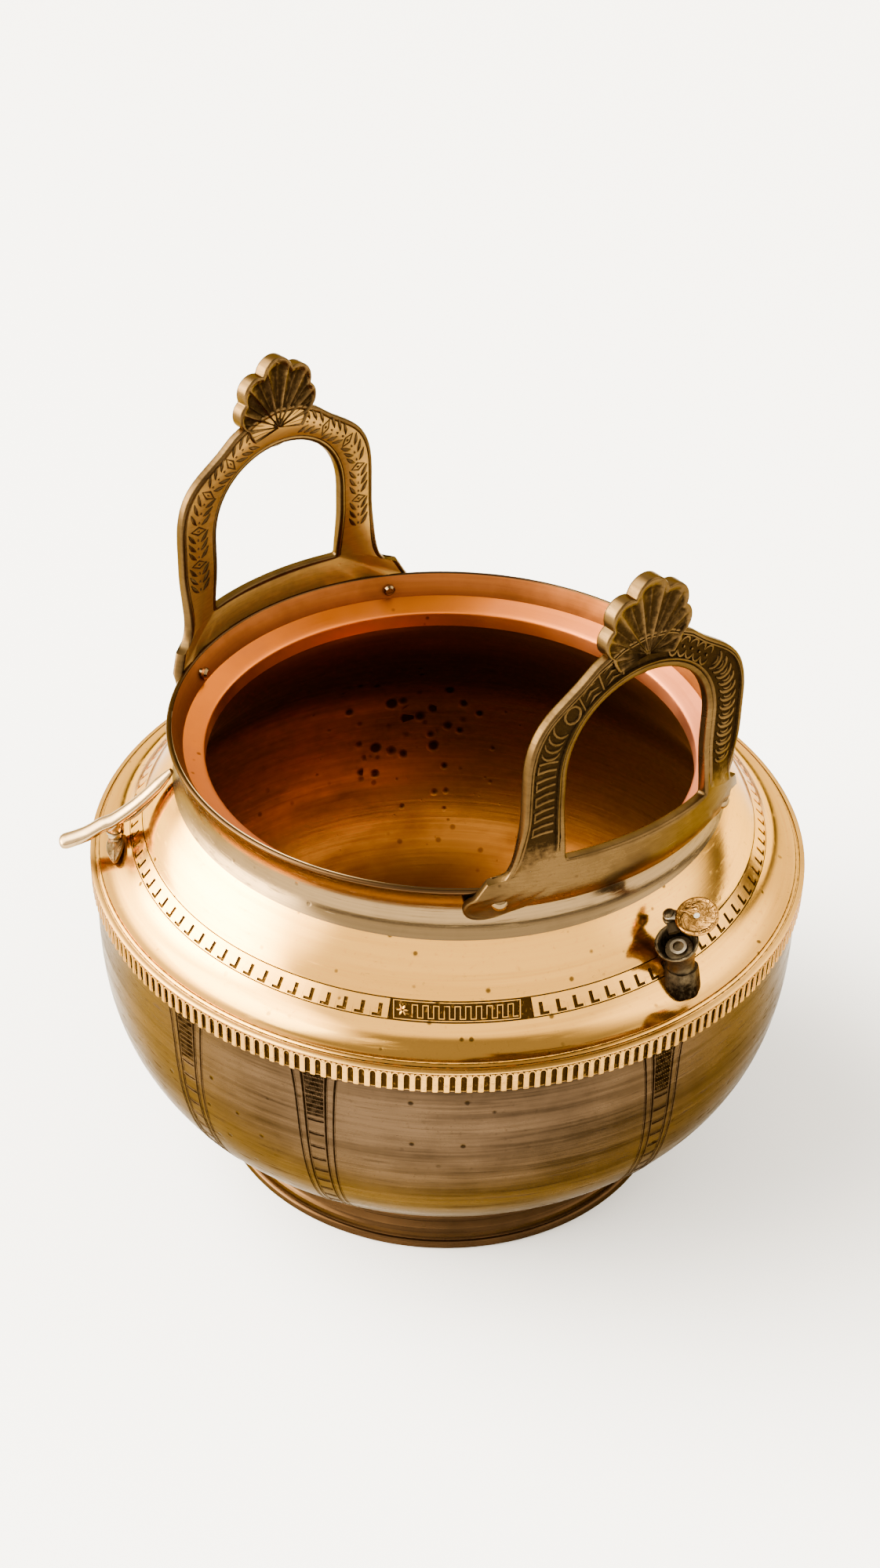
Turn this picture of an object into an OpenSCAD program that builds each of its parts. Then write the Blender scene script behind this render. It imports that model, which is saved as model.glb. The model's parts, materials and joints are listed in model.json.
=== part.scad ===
// Round-bellied brass pot with a copper liner, two arched handles,
// a capped filler spout and a swivelling shoulder arm. Millimetres, +Z up.
// The origin is on the pot's axis, level with the underside of its foot ring.

/* [Body] */
// Radius of the belly
belly_r = 129.5; // [128:0.5:131]
// Height of the belly's widest level
belly_z = 105; // [103:1:107]
// Height of the seam between lower bowl and shoulder
seam_z = 123.5; // [122.5:0.5:124.5]
// Thickness of the brass walls
wall = 1.6; // [1.2:0.1:2]
// Radius of the foot ring at the ground
foot_r = 88.1; // [86:0.1:90]
// Height of the rim
rim_z = 178.2; // [177.5:0.1:179]
// Radius at the middle of the rim's bead
rim_r = 100.1; // [99.8:0.1:100.3]

/* [Liner] */
// Radius of the mouth inside the copper lip
throat_r = 87.8; // [86:0.1:88.5]
// Largest radius of the copper liner
liner_r = 121.5; // [118:0.5:123]
// Thickness of the copper
copper = 1.2; // [1:0.1:1.4]

/* [Handles] */
// Direction of the front handle round the pot, in degrees
front_az = -52; // [-56:1:-48]
// Direction of the rear handle round the pot, in degrees
rear_az = 133.7; // [128:0.1:138]
// Distance from the pot's axis to the middle of the flat arch
plate_d = 96; // [95:0.5:97]
// Thickness of the handle plate
plate_t = 3.8; // [3.4:0.1:4.2]
// Half the width of the handle across its legs
leg_s = 45.4; // [44:0.1:47]
// Half the width of the finger opening
gap_s = 29.6; // [27:0.1:31]
// Height of the top edge of the rail below the opening
rail_z = 190.7; // [188:0.1:192]
// Height of the top of the shell ornament
top_z = 283.8; // [280:0.1:286]

/* [Spout] */
// Direction of the filler spout round the pot, in degrees
spout_az = -47.7; // [-52:0.1:-44]
// Distance from the pot's axis to the spout's foot
spout_d = 118.1; // [117:0.1:119]
// Radius of the funnel mouth
mouth_r = 7.5; // [7:0.1:8]
// Radius of the swinging cap
cap_r = 7.4; // [7:0.1:7.5]
// Angle from the closed cap to its open rest position
cap_open = 63.5; // [50:0.5:70]

/* [Arm] */
// Direction of the shoulder arm round the pot, in degrees
arm_az = 188; // [184:1:192]
// Distance from the pot's axis to the arm's pivot
arm_d = 121.3; // [120:0.1:122]

/* [Hidden] */
$fn = 48;
eps = 0.01;
running = 0.05;
knuckle = 0.04;

// Body curves
belly_h = 93;
belly_power = 2.8;
neck_base = [97.1, 160.9];
tick_in = [111.2, 141.4];
tick_out = [116.1, 135.9];
band_r = 131.3;
recess_r = 80;
recess_h = 8;
liner_h = 85;

// Handle rail and rivets
rail_t = 3.8;
bead_gap = 1.2;
rivet_a = 28.3;
rivet_z = 174.8;
rivet_r = 1.5;

// Spout and cap
bend_z = 143;
spout_tilt = 25;
spout_lean = 5;
neck_l = 11;
tube_r = 4.3;
tube_bore = 3.1;
inner_r = 2.9;
inner_bore = 1.9;
swing_r = 9.8;
post_a = 147;
spigot_r = 1.2;
collar_r = 2.1;
cap_dir = post_a + 180 + cap_open;

// Arm
pin_r = 1.25;
bar_r = 2.2;
post_top = 136.1;
boss_z = 136.9;
boss_h = 4.7;

function bez(a, b, c, d, n) = [for (i = [0:n]) let (t = i / n)
    pow(1 - t, 3) * a + 3 * pow(1 - t, 2) * t * b + 3 * (1 - t) * t * t * c + t * t * t * d];
function reversed(p) = [for (i = [len(p) - 1:-1:0]) p[i]];
function mirrored(p) = [for (q = reversed(p)) [-q[0], q[1]]];
function along(p, i) = p[min(i + 1, len(p) - 1)] - p[max(i - 1, 0)];
function outward(p, i) = let (d = along(p, i)) [d[1], -d[0]] / norm(d);
function inset(p, w) = [for (i = [0:len(p) - 1]) p[i] - w * outward(p, i)];
// Lower half of a rounded bowl, from its bottom centre to its widest level
function bowl_curve(r, h, z, n) = [for (i = [0:n]) let (t = 90 - 90 * i / n)
    [r * pow(cos(t), 2 / belly_power), z - h * pow(sin(t), 2 / belly_power)]];

cove = bez([127.6, 129], [123.5, 129.3], [119.5, 131.6], [116.9, 134.9], 8);
dome = bez(tick_in, [107.2, 148.2], [101.5, 155.5], neck_base, 8);
shoulder = concat([[belly_r, seam_z], [belly_r, 126.8], [128.9, 128.2]], cove, [tick_out], dome);
neck = bez(neck_base, [96, 165], [97.2, 171], [100.4, rim_z - 0.2], 12);

module bowl_wall(r, h, z, top, w) {
    outer = concat(bowl_curve(r, h, z, 30), [[r, top]]);
    inner = concat(bowl_curve(r - w, h - w, z, 30), [[r - w, top]]);
    rotate_extrude($fn = 180) polygon(concat(outer, reversed(inner)));
}

module turned_wall(outer, w) {
    rotate_extrude($fn = 180) polygon(concat(outer, reversed(inset(outer, w))));
}

// The space inside the shoulder's outer face, for fitting what is soldered on it
module shoulder_core() {
    rotate_extrude($fn = 180) polygon(concat([[0, seam_z]], shoulder, [[0, neck_base[1]]]));
}

module at_rim(az, a, z) {
    rotate([0, 0, az + a]) translate([0, 0, z]) rotate([0, 90, 0]) children();
}

module at_spout() {
    rotate([0, 0, spout_az]) translate([spout_d, 0, 0]) children();
}

// Origin at the middle of the funnel's mouth, Z out of the mouth
module at_mouth() {
    at_spout() translate([0, 0, bend_z]) rotate([spout_tilt, spout_lean, 0])
        translate([0, 0, neck_l]) children();
}

// Origin on the cap's pivot, X towards the open cap
module at_cap() {
    at_mouth() rotate([0, 0, post_a]) translate([swing_r, 0, 0])
        rotate([0, 0, cap_dir - post_a]) children();
}

module at_arm() {
    rotate([0, 0, arm_az]) translate([arm_d, 0, 0]) children();
}

module tube(outer, bore, h) {
    difference() {
        cylinder(r = outer, h = h);
        translate([0, 0, -1]) cylinder(r = bore, h = h + 2);
    }
}

// A round bar from a to b with a ball at its far end, a touch fuller than the bar
module rod(a, b, r) {
    d = b - a;
    translate(a) rotate([0, acos(d[2] / norm(d)), atan2(d[1], d[0])]) cylinder(r = r, h = norm(d));
    translate(b) sphere(r = r + knuckle);
}

module lower_bowl() {
    color("darkkhaki") bowl_wall(belly_r, belly_h, belly_z, seam_z, wall);
}

module shoulder_shell() {
    color("khaki") difference() {
        turned_wall(shoulder, wall);
        at_spout() translate([0, 0, seam_z]) cylinder(r = tube_r, h = 20);
    }
}

module gadroon_band() {
    color("goldenrod") rotate_extrude($fn = 180) polygon([[belly_r, 119.9], [130.3, 119.9],
        [131.1, 121], [band_r, seam_z], [131.1, 126], [130.3, 127.1], [belly_r, 127.1]]);
}

module foot_ring() {
    color("peru") rotate_extrude($fn = 180) polygon([[foot_r - 0.6, 0], [foot_r, 0.6], [foot_r, 3],
        [86.9, 3.9], [86.9, 7.2], [85.8, 8.1], [85.4, 11.8], [84.6, 12.6], [84.1, 16.2],
        [83, 18.4], [82.4, 22.4], [78.6, 20.95], [78.6, recess_h], [recess_r, recess_h],
        [recess_r, 0]]);
}

module neck_collar() {
    color("gold") difference() {
        turned_wall(neck, wall);
        for (az = [front_az, rear_az], a = [-rivet_a, rivet_a])
            at_rim(az, a, rivet_z) translate([0, 0, 90]) cylinder(r = rivet_r + eps, h = 20);
    }
}

module rim_bead() {
    color("gold") rotate_extrude($fn = 180) translate([rim_r, rim_z]) circle(r = 0.95);
}

module copper_liner() {
    upper = bez([liner_r, belly_z + 1], [liner_r, 124], [92, 141], [throat_r + 2.4, 160], 16);
    outer = concat(bowl_curve(liner_r, liner_h, belly_z, 30), upper, [[throat_r + 2.4, 166.3]]);
    inner = concat(bowl_curve(liner_r - copper, liner_h - copper, belly_z, 30),
        inset(upper, copper), [[throat_r + 1.2, 166.3]]);
    color("sienna") rotate_extrude($fn = 180) polygon(concat(outer, reversed(inner)));
}

module liner_lip() {
    top = concat([[throat_r, 162], [throat_r, 167]], bez([throat_r, 167.2], [88.2, 168.4],
        [90, 168.8], [95.9, 171.4], 6));
    color("lightsalmon") rotate_extrude($fn = 180)
        polygon(concat(top, [[95.9, 170], [90.3, 167.6], [throat_r + 1.2, 166.4], [throat_r + 1.2, 162]]));
}

// Half outlines, in the handle's own plane: distance from its middle line, and height
foot_half = concat([[leg_s, 200]], bez([leg_s, 193], [leg_s + 0.6, 184], [53, 184], [56.4, 177], 8),
    bez([57.4, 173], [57.8, 167], [53, 165.5], [48, 167.8], 6), [[40, 171.6]]);
arch_half = concat([[leg_s, 181.5], [leg_s, 226]],
    bez([leg_s, 228], [leg_s, 240], [40.5, 243.5], [33, 248.5], 8), [[26, 253], [19.5, 258]]);
gap_half = concat([[gap_s, rail_z], [gap_s, 221]],
    bez([gap_s, 222], [gap_s, 239], [15, 249.2], [0, 249.2], 12));

module handle_rail() {
    inner = [[97, 163], [97.7, 170], [99.3, 175], [101.15, 177.1], [101.15, 205]];
    outer = [for (q = inner) [q[0] + rail_t, q[1]]];
    rotate([0, 0, -60]) rotate_extrude(angle = 120, $fn = 180)
        polygon(concat(inner, reversed(outer)));
}

module handle_foot_blank() {
    translate([90, 0, 0]) rotate([90, 0, 90]) linear_extrude(height = 25)
        polygon(concat(foot_half, mirrored(foot_half)));
}

module shell_blank() {
    translate([0, top_z - 6.2]) circle(r = 6.2);
    for (s = [-1, 1]) {
        translate([s * 9.4, 272.2]) circle(r = 5.8);
        translate([s * 11.2, 264.6]) circle(r = 4.9);
    }
    polygon([[-16, 257], [16, 257], [14, 268], [9, 276], [0, 281], [-9, 276], [-14, 268]]);
}

module arch_plate() {
    translate([plate_d - plate_t / 2, 0, 0]) rotate([90, 0, 90])
        linear_extrude(height = plate_t) {
            polygon(concat(arch_half, mirrored(arch_half)));
            shell_blank();
        }
}

module handle() {
    difference() {
        union() {
            intersection() {
                handle_rail();
                handle_foot_blank();
            }
            arch_plate();
        }
        translate([80, 0, 0]) rotate([90, 0, 90]) linear_extrude(height = 40)
            polygon(concat(gap_half, mirrored(gap_half)));
        for (a = [-rivet_a, rivet_a])
            at_rim(0, a, rivet_z) translate([0, 0, 90]) cylinder(r = rivet_r + eps, h = 20);
    }
}

module front_handle() {
    color("darkgoldenrod") rotate([0, 0, front_az]) handle();
}

module rear_handle() {
    color("darkgoldenrod") rotate([0, 0, rear_az]) handle();
}

module rivets(az) {
    for (a = [-rivet_a, rivet_a])
        at_rim(az, a, rivet_z) {
            translate([0, 0, 95]) cylinder(r = rivet_r, h = 8.5);
            translate([0, 0, 94.1]) cylinder(r1 = 1.6, r2 = 2.2, h = 1);
            difference() {
                translate([0, 0, 101.6]) sphere(r = 3.2);
                translate([0, 0, 93.05]) cylinder(r = 6, h = 10);
            }
        }
}

module rivet_washers(az) {
    for (a = [-rivet_a, rivet_a])
        at_rim(az, a, rivet_z) translate([0, 0, 95.1]) tube(2.3, rivet_r + eps, 0.9);
}

module front_rivets() {
    color("gold") rivets(front_az);
}

module rear_rivets() {
    color("gold") rivets(rear_az);
}

module front_rivet_washers() {
    color("tan") rivet_washers(front_az);
}

module rear_rivet_washers() {
    color("tan") rivet_washers(rear_az);
}

module spout_collar() {
    color("dimgray") difference() {
        at_spout() translate([0, 0, 128]) cylinder(r1 = 8, r2 = 5, h = 10);
        at_spout() translate([0, 0, 120]) cylinder(r = tube_r + eps, h = 30);
        shoulder_core();
    }
}

module spout_path(r, start, end) {
    at_spout() translate([0, 0, start]) cylinder(r = r, h = bend_z - start);
    at_spout() translate([0, 0, bend_z]) sphere(r = r + knuckle);
    at_mouth() translate([0, 0, -neck_l]) cylinder(r = r, h = neck_l + end);
}

module spout_tube() {
    color("dimgray") difference() {
        spout_path(tube_r - eps, 125.5, -5);
        spout_path(tube_bore, 120, 5);
    }
}

module spout_funnel() {
    flare = bez([tube_r + 1, -7.2], [tube_r + 1.2, -3.6], [6.4, -2], [mouth_r, -0.5], 8);
    bowl = bez([6.6, 0], [5.9, -1.6], [5, -3.4], [tube_r, -4.8], 8);
    color("gray") difference() {
        at_mouth() {
            rotate_extrude($fn = 64) polygon(concat(flare, bowl, [[tube_r, -7.2]]));
            rotate([0, 0, post_a]) translate([swing_r, 0, -2.4]) cylinder(r = 2.6, h = 1.6);
            rotate([0, 0, post_a]) translate([6.4, -1.8, -2.4]) cube([3, 3.6, 1.6]);
        }
        at_mouth() rotate([0, 0, post_a]) translate([swing_r, 0, -5]) cylinder(r = 1.5, h = 6);
    }
}

module spout_inner_tube() {
    color("silver") at_mouth() translate([0, 0, -10]) tube(inner_r, inner_bore, 6.6);
}

module cap_post() {
    color("gray") at_mouth() rotate([0, 0, post_a]) translate([swing_r, 0, 0]) {
        translate([0, 0, -3]) cylinder(r = 1.5 - eps, h = 3);
        translate([0, 0, -0.79]) cylinder(r = collar_r, h = 1.09);
        cylinder(r = spigot_r, h = 1.5);
        translate([0, 0, 1.3]) cylinder(r1 = 1.6, r2 = 1.2, h = 0.7);
    }
}

module cap_arm() {
    color("silver") at_cap() translate([0, 0, 0.35]) difference() {
        union() {
            cylinder(r = 2.2, h = 0.9);
            translate([swing_r, 0, 0]) cylinder(r = 2.6, h = 0.9);
            translate([0, -1.7, 0]) cube([swing_r, 3.4, 0.9]);
        }
        translate([0, 0, -1]) cylinder(r = spigot_r + running, h = 3);
        translate([swing_r, 0, -1]) cylinder(r = 1.1, h = 3);
    }
}

module cap_disc() {
    color("palegoldenrod") at_cap() translate([swing_r, 0, 1.25]) difference() {
        union() {
            cylinder(r = cap_r - 0.3, h = 1.6);
            translate([0, 0, 0.3]) cylinder(r = cap_r, h = 1);
        }
        translate([0, 0, -1]) cylinder(r = 1.1, h = 4);
    }
}

module cap_rivet() {
    color("silver") at_cap() translate([swing_r, 0, 0]) {
        translate([0, 0, 0.1]) cylinder(r = 1.7, h = 0.25);
        cylinder(r = 1.1 - eps, h = 3);
        translate([0, 0, 2.85]) cylinder(r1 = 1.6, r2 = 1.1, h = 0.5);
    }
}

module arm_saddle() {
    color("tan") difference() {
        at_arm() translate([0, 0, 131.6]) rotate([0, 28, 0]) linear_extrude(height = 1.5)
            polygon(concat([for (a = [160:10:380]) 4.6 * [cos(a), sin(a)]],
                [for (a = [20:20:160]) [0.4, 11.6] + 1.9 * [cos(a), sin(a)]]));
        shoulder_core();
        at_arm() translate([0, 0, 120]) cylinder(r = 2.8 + eps, h = 30);
    }
}

module arm_post() {
    color("tan") difference() {
        at_arm() translate([0, 0, 128]) cylinder(r = 2.8, h = post_top - 128);
        shoulder_core();
        at_arm() translate([0, 0, post_top - 3]) cylinder(r = pin_r + eps, h = 5);
    }
}

module arm_washer() {
    color("silver") at_arm() translate([0, 0, post_top]) tube(3.3, pin_r + eps, boss_z - post_top - 0.05);
}

module arm_pin() {
    color("silver") at_arm() {
        translate([0, 0, post_top - 3]) cylinder(r = pin_r, h = boss_z + boss_h + 3.2 - post_top);
        translate([0, 0, boss_z + boss_h + 0.1]) cylinder(r1 = 2.5, r2 = 1.9, h = 0.9);
    }
}

module shoulder_arm() {
    route = [[-21.4, 0, 161.4], [-15, 0, 154.2], [-8, 0, 147.4], [0, 0, 141.2], [4.5, 0, 139.6],
        [10.5, 0, 135.6], [20.3, 0, 132.6]];
    color("palegoldenrod") at_arm() difference() {
        union() {
            translate(route[0]) sphere(r = bar_r + knuckle);
            for (i = [0:len(route) - 2]) rod(route[i], route[i + 1], bar_r);
            translate([0, 0, boss_z]) cylinder(r = 3.3, h = boss_h);
        }
        translate([0, 0, 130]) cylinder(r = pin_r + running, h = 20);
        translate([0, 0, boss_z + boss_h]) cylinder(r = 3.3, h = 8);
    }
}

lower_bowl();
shoulder_shell();
gadroon_band();
foot_ring();
neck_collar();
rim_bead();
copper_liner();
liner_lip();
front_handle();
rear_handle();
front_rivets();
rear_rivets();
front_rivet_washers();
rear_rivet_washers();
spout_collar();
spout_tube();
spout_funnel();
spout_inner_tube();
cap_post();
cap_arm();
cap_disc();
cap_rivet();
arm_saddle();
arm_post();
arm_washer();
arm_pin();
shoulder_arm();
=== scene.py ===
import json
import math

import bmesh
import bpy
from mathutils import Matrix, Vector


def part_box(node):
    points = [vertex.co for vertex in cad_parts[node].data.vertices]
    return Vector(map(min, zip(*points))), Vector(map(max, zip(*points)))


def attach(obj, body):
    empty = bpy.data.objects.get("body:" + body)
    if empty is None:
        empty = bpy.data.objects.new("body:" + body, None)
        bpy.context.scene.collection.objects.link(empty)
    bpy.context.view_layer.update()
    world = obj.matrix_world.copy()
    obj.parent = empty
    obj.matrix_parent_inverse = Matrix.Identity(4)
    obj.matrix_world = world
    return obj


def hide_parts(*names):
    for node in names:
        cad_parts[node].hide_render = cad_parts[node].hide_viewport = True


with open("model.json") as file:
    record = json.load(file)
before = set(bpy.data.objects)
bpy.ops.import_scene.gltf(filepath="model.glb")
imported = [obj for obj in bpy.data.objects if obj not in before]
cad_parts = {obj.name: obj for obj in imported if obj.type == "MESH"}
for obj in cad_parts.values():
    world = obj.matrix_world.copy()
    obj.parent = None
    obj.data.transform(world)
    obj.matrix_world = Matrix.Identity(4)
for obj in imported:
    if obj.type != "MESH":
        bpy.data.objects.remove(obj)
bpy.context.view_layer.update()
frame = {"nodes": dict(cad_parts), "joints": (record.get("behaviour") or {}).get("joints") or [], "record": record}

MM = 0.001
TURNS = 192
joints = {joint["name"]: joint for joint in frame["joints"]}
HANDLE_AZIMUTHS = {"front_handle": math.radians(-52), "rear_handle": math.radians(133.7)}
SPOUT_AZ = math.radians(-47.7)

# Heights and radii that the frame gives
bowl_low, bowl_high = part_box("lower_bowl")
BELLY_R = bowl_high.x
SEAM_Z = bowl_high.z
BOWL_DEPTH = 93 * MM
BELLY_Z = bowl_low.z + BOWL_DEPTH
BELLY_POWER = 2.8
BAND_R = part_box("gadroon_band")[1].x
RIM_Z = 0.5 * (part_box("rim_bead")[0].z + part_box("rim_bead")[1].z)
LINER_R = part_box("copper_liner")[1].x
PLATE_D = 96 * MM
PLATE_HALF = 1.9 * MM


def mm(*values):
    return Vector([value * MM for value in values])


def bezier(a, b, c, d, steps):
    """Points along a cubic curve, both ends included."""
    points = []
    for step in range(steps + 1):
        t = step / steps
        u = 1 - t
        points.append(u**3 * a + 3 * u * u * t * b + 3 * u * t * t * c + t**3 * d)
    return points


def polar(radius, angle):
    return Vector((radius * math.cos(angle), radius * math.sin(angle)))


def rounded_bowl(radius, depth, widest_z, steps):
    """Half of a full-bellied bowl, from near its bottom centre up to its widest level."""
    points = []
    for step in range(steps + 1):
        angle = math.radians(89.9) * (1 - step / steps)
        points.append(Vector((radius * math.cos(angle) ** (2 / BELLY_POWER),
                              widest_z - depth * math.sin(angle) ** (2 / BELLY_POWER))))
    return points


def heading(points, index):
    """The direction of a line at one of its points."""
    return (points[min(index + 1, len(points) - 1)] - points[max(index - 1, 0)]).normalized()


def walk(points, distance):
    """The stretch of a line that a distance along it ends on, and how far along that stretch."""
    index = 0
    while index < len(points) - 2 and distance > (points[index + 1] - points[index]).length:
        distance -= (points[index + 1] - points[index]).length
        index += 1
    return index, distance


def outward(points, index):
    """The normal of a section's outer side."""
    step = points[min(index + 1, len(points) - 1)] - points[max(index - 1, 0)]
    return Vector((step.y, -step.x)).normalized()


def inset(points, wall):
    return [point - wall * outward(points, index) for index, point in enumerate(points)]


def only(*pieces):
    """Deselects everything, then selects the given pieces and makes the first one active."""
    if bpy.context.object and bpy.context.object.mode == "EDIT":
        bpy.ops.object.mode_set(mode="OBJECT")
    bpy.ops.object.select_all(action="DESELECT")
    for piece in pieces:
        piece.select_set(True)
    bpy.context.view_layer.objects.active = pieces[0]


def flipped(piece):
    """Turns the faces over, for a drawing that was laid on in mirror."""
    only(piece)
    bpy.ops.object.mode_set(mode="EDIT")
    bpy.ops.mesh.select_all(action="SELECT")
    bpy.ops.mesh.flip_normals()
    bpy.ops.object.mode_set(mode="OBJECT")


def settle(piece, angle=40):
    """Applies a piece's place and shades it smooth, with edges sharper than the angle kept."""
    only(piece)
    bpy.ops.object.transform_apply(location=True, rotation=True, scale=True)
    bpy.ops.object.shade_smooth_by_angle(angle=math.radians(angle))
    return piece


def joined(name, pieces):
    only(*pieces)
    if len(pieces) > 1:
        bpy.ops.object.join()
    pieces[0].name = name
    return pieces[0]


def copied(piece, matrix):
    """A copy with its own mesh, moved by the matrix."""
    copy = piece.copy()
    copy.data = piece.data.copy()
    copy.data.transform(matrix)
    bpy.context.collection.objects.link(copy)
    return copy


def about_axis(angle):
    return Matrix.Rotation(angle, 4, "Z")


def mark_relief(piece, values):
    """Writes how proud each point stands: 0 in a recess, 1 on the open surface, and up to 1.8 on the inner face of
    a handle, where a lighter colour is painted on as a painted highlight."""
    layers = piece.data.attributes
    layer = layers.get("relief") or layers.new("relief", "FLOAT", "POINT")
    layer.data.foreach_set("value", values)


def turned(name, section, sunk=(), vessel=False):
    """Metal turned to a section of (radius, height) points, extruded ring by ring.

    A ring's last edge is bridged to its first, and a vessel is closed at the middle instead.
    Rings named in sunk lie in a groove."""
    bpy.ops.object.select_all(action="DESELECT")
    radius, height = section[0]
    bpy.ops.mesh.primitive_circle_add(vertices=TURNS, radius=radius, location=(0, 0, height))
    piece = bpy.context.object
    piece.name = name
    bpy.ops.object.mode_set(mode="EDIT")
    bpy.ops.mesh.select_all(action="SELECT")
    for next_radius, next_height in section[1:]:
        bpy.ops.mesh.extrude_edges_move(
            TRANSFORM_OT_translate={"value": (0, 0, next_height - height)})
        grow = next_radius / radius
        bpy.ops.transform.resize(value=(grow, grow, 1), center_override=(0, 0, next_height))
        radius, height = next_radius, next_height
    bpy.ops.mesh.select_all(action="DESELECT")
    bpy.ops.mesh.select_non_manifold()
    if vessel:
        bpy.ops.mesh.fill_holes(sides=0)
    else:
        bpy.ops.mesh.bridge_edge_loops()
    bpy.ops.mesh.select_all(action="SELECT")
    bpy.ops.mesh.normals_make_consistent(inside=False)
    bpy.ops.object.mode_set(mode="OBJECT")
    mark_relief(piece, [0.0 if index // TURNS in sunk else 1.0
                        for index in range(len(piece.data.vertices))])
    return settle(piece)


def loft(name, rows, close_rows=True, close_columns=True):
    """A skin over rows of (point, relief), closed both ways unless told otherwise."""
    mesh = bpy.data.meshes.new(name)
    piece = bpy.data.objects.new(name, mesh)
    bpy.context.collection.objects.link(piece)
    skin = bmesh.new()
    grid = [[skin.verts.new(point) for point, _ in row] for row in rows]
    for index in range(len(rows) if close_rows else len(rows) - 1):
        row, after = grid[index], grid[(index + 1) % len(rows)]
        for step in range(len(row) if close_columns else len(row) - 1):
            side = (step + 1) % len(row)
            skin.faces.new((row[step], row[side], after[side], after[step]))
    if not close_rows and close_columns:
        skin.faces.new(reversed(grid[0]))
        skin.faces.new(grid[-1])
    bmesh.ops.recalc_face_normals(skin, faces=skin.faces)
    skin.to_mesh(mesh)
    skin.free()
    mark_relief(piece, [float(relief) for row in rows for _, relief in row])
    return piece


def ridges(name, lines, flatten=0.8):
    """Round-backed ridges along flat lines of (points, half widths in mm, closed), as one mesh."""
    curve = bpy.data.curves.new(name, "CURVE")
    curve.dimensions = "3D"
    curve.twist_mode = "Z_UP"
    curve.bevel_depth = MM
    curve.bevel_resolution = 1
    curve.use_fill_caps = True
    for points, widths, closed in lines:
        spline = curve.splines.new("POLY")
        spline.points.add(len(points) - 1)
        spline.use_cyclic_u = closed
        for knot, (x, y), width in zip(spline.points, points, widths):
            knot.co = (x, y, 0, 1)
            knot.radius = width
    piece = bpy.data.objects.new(name, curve)
    bpy.context.collection.objects.link(piece)
    only(piece)
    bpy.ops.object.convert(target="MESH")
    piece = bpy.context.object
    piece.data.transform(Matrix.Scale(flatten, 4, (0, 0, 1)))
    heights = [vertex.co.z for vertex in piece.data.vertices]
    top = max(heights)
    mark_relief(piece, [min(1.0, max(0.0, 1.6 * height / top)) for height in heights])
    return piece


def placed(piece, place):
    """Moves each point of a flat drawing (across, along, proud) to its place on the metal."""
    for vertex in piece.data.vertices:
        vertex.co = place(*vertex.co)
    piece.data.update()
    return piece


def laid_on(profile, azimuth, lift=0.0):
    """Places a flat drawing on a turned surface, along its profile and across it."""
    def place(across, along, proud):
        index, left = walk(profile, along)
        step = profile[index + 1] - profile[index]
        point = profile[index] + step.normalized() * left
        normal = outward(profile, index).lerp(outward(profile, index + 1), left / step.length)
        point = point + normal * (proud + lift)
        angle = azimuth + across / max(point.x, MM)
        return Vector((point.x * math.cos(angle), point.x * math.sin(angle), point.y))
    return place


def even(width, count):
    return [width] * count


# ---------------------------------------------------------------- finishes

def paint(red, green, blue):
    """A colour picked as 0 to 255 on a screen, as linear light."""
    return tuple((value / 255) ** 2.2 for value in (red, green, blue)) + (1,)


EDGE_TINT = (0.60, 0.52, 0.42, 1)


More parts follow.
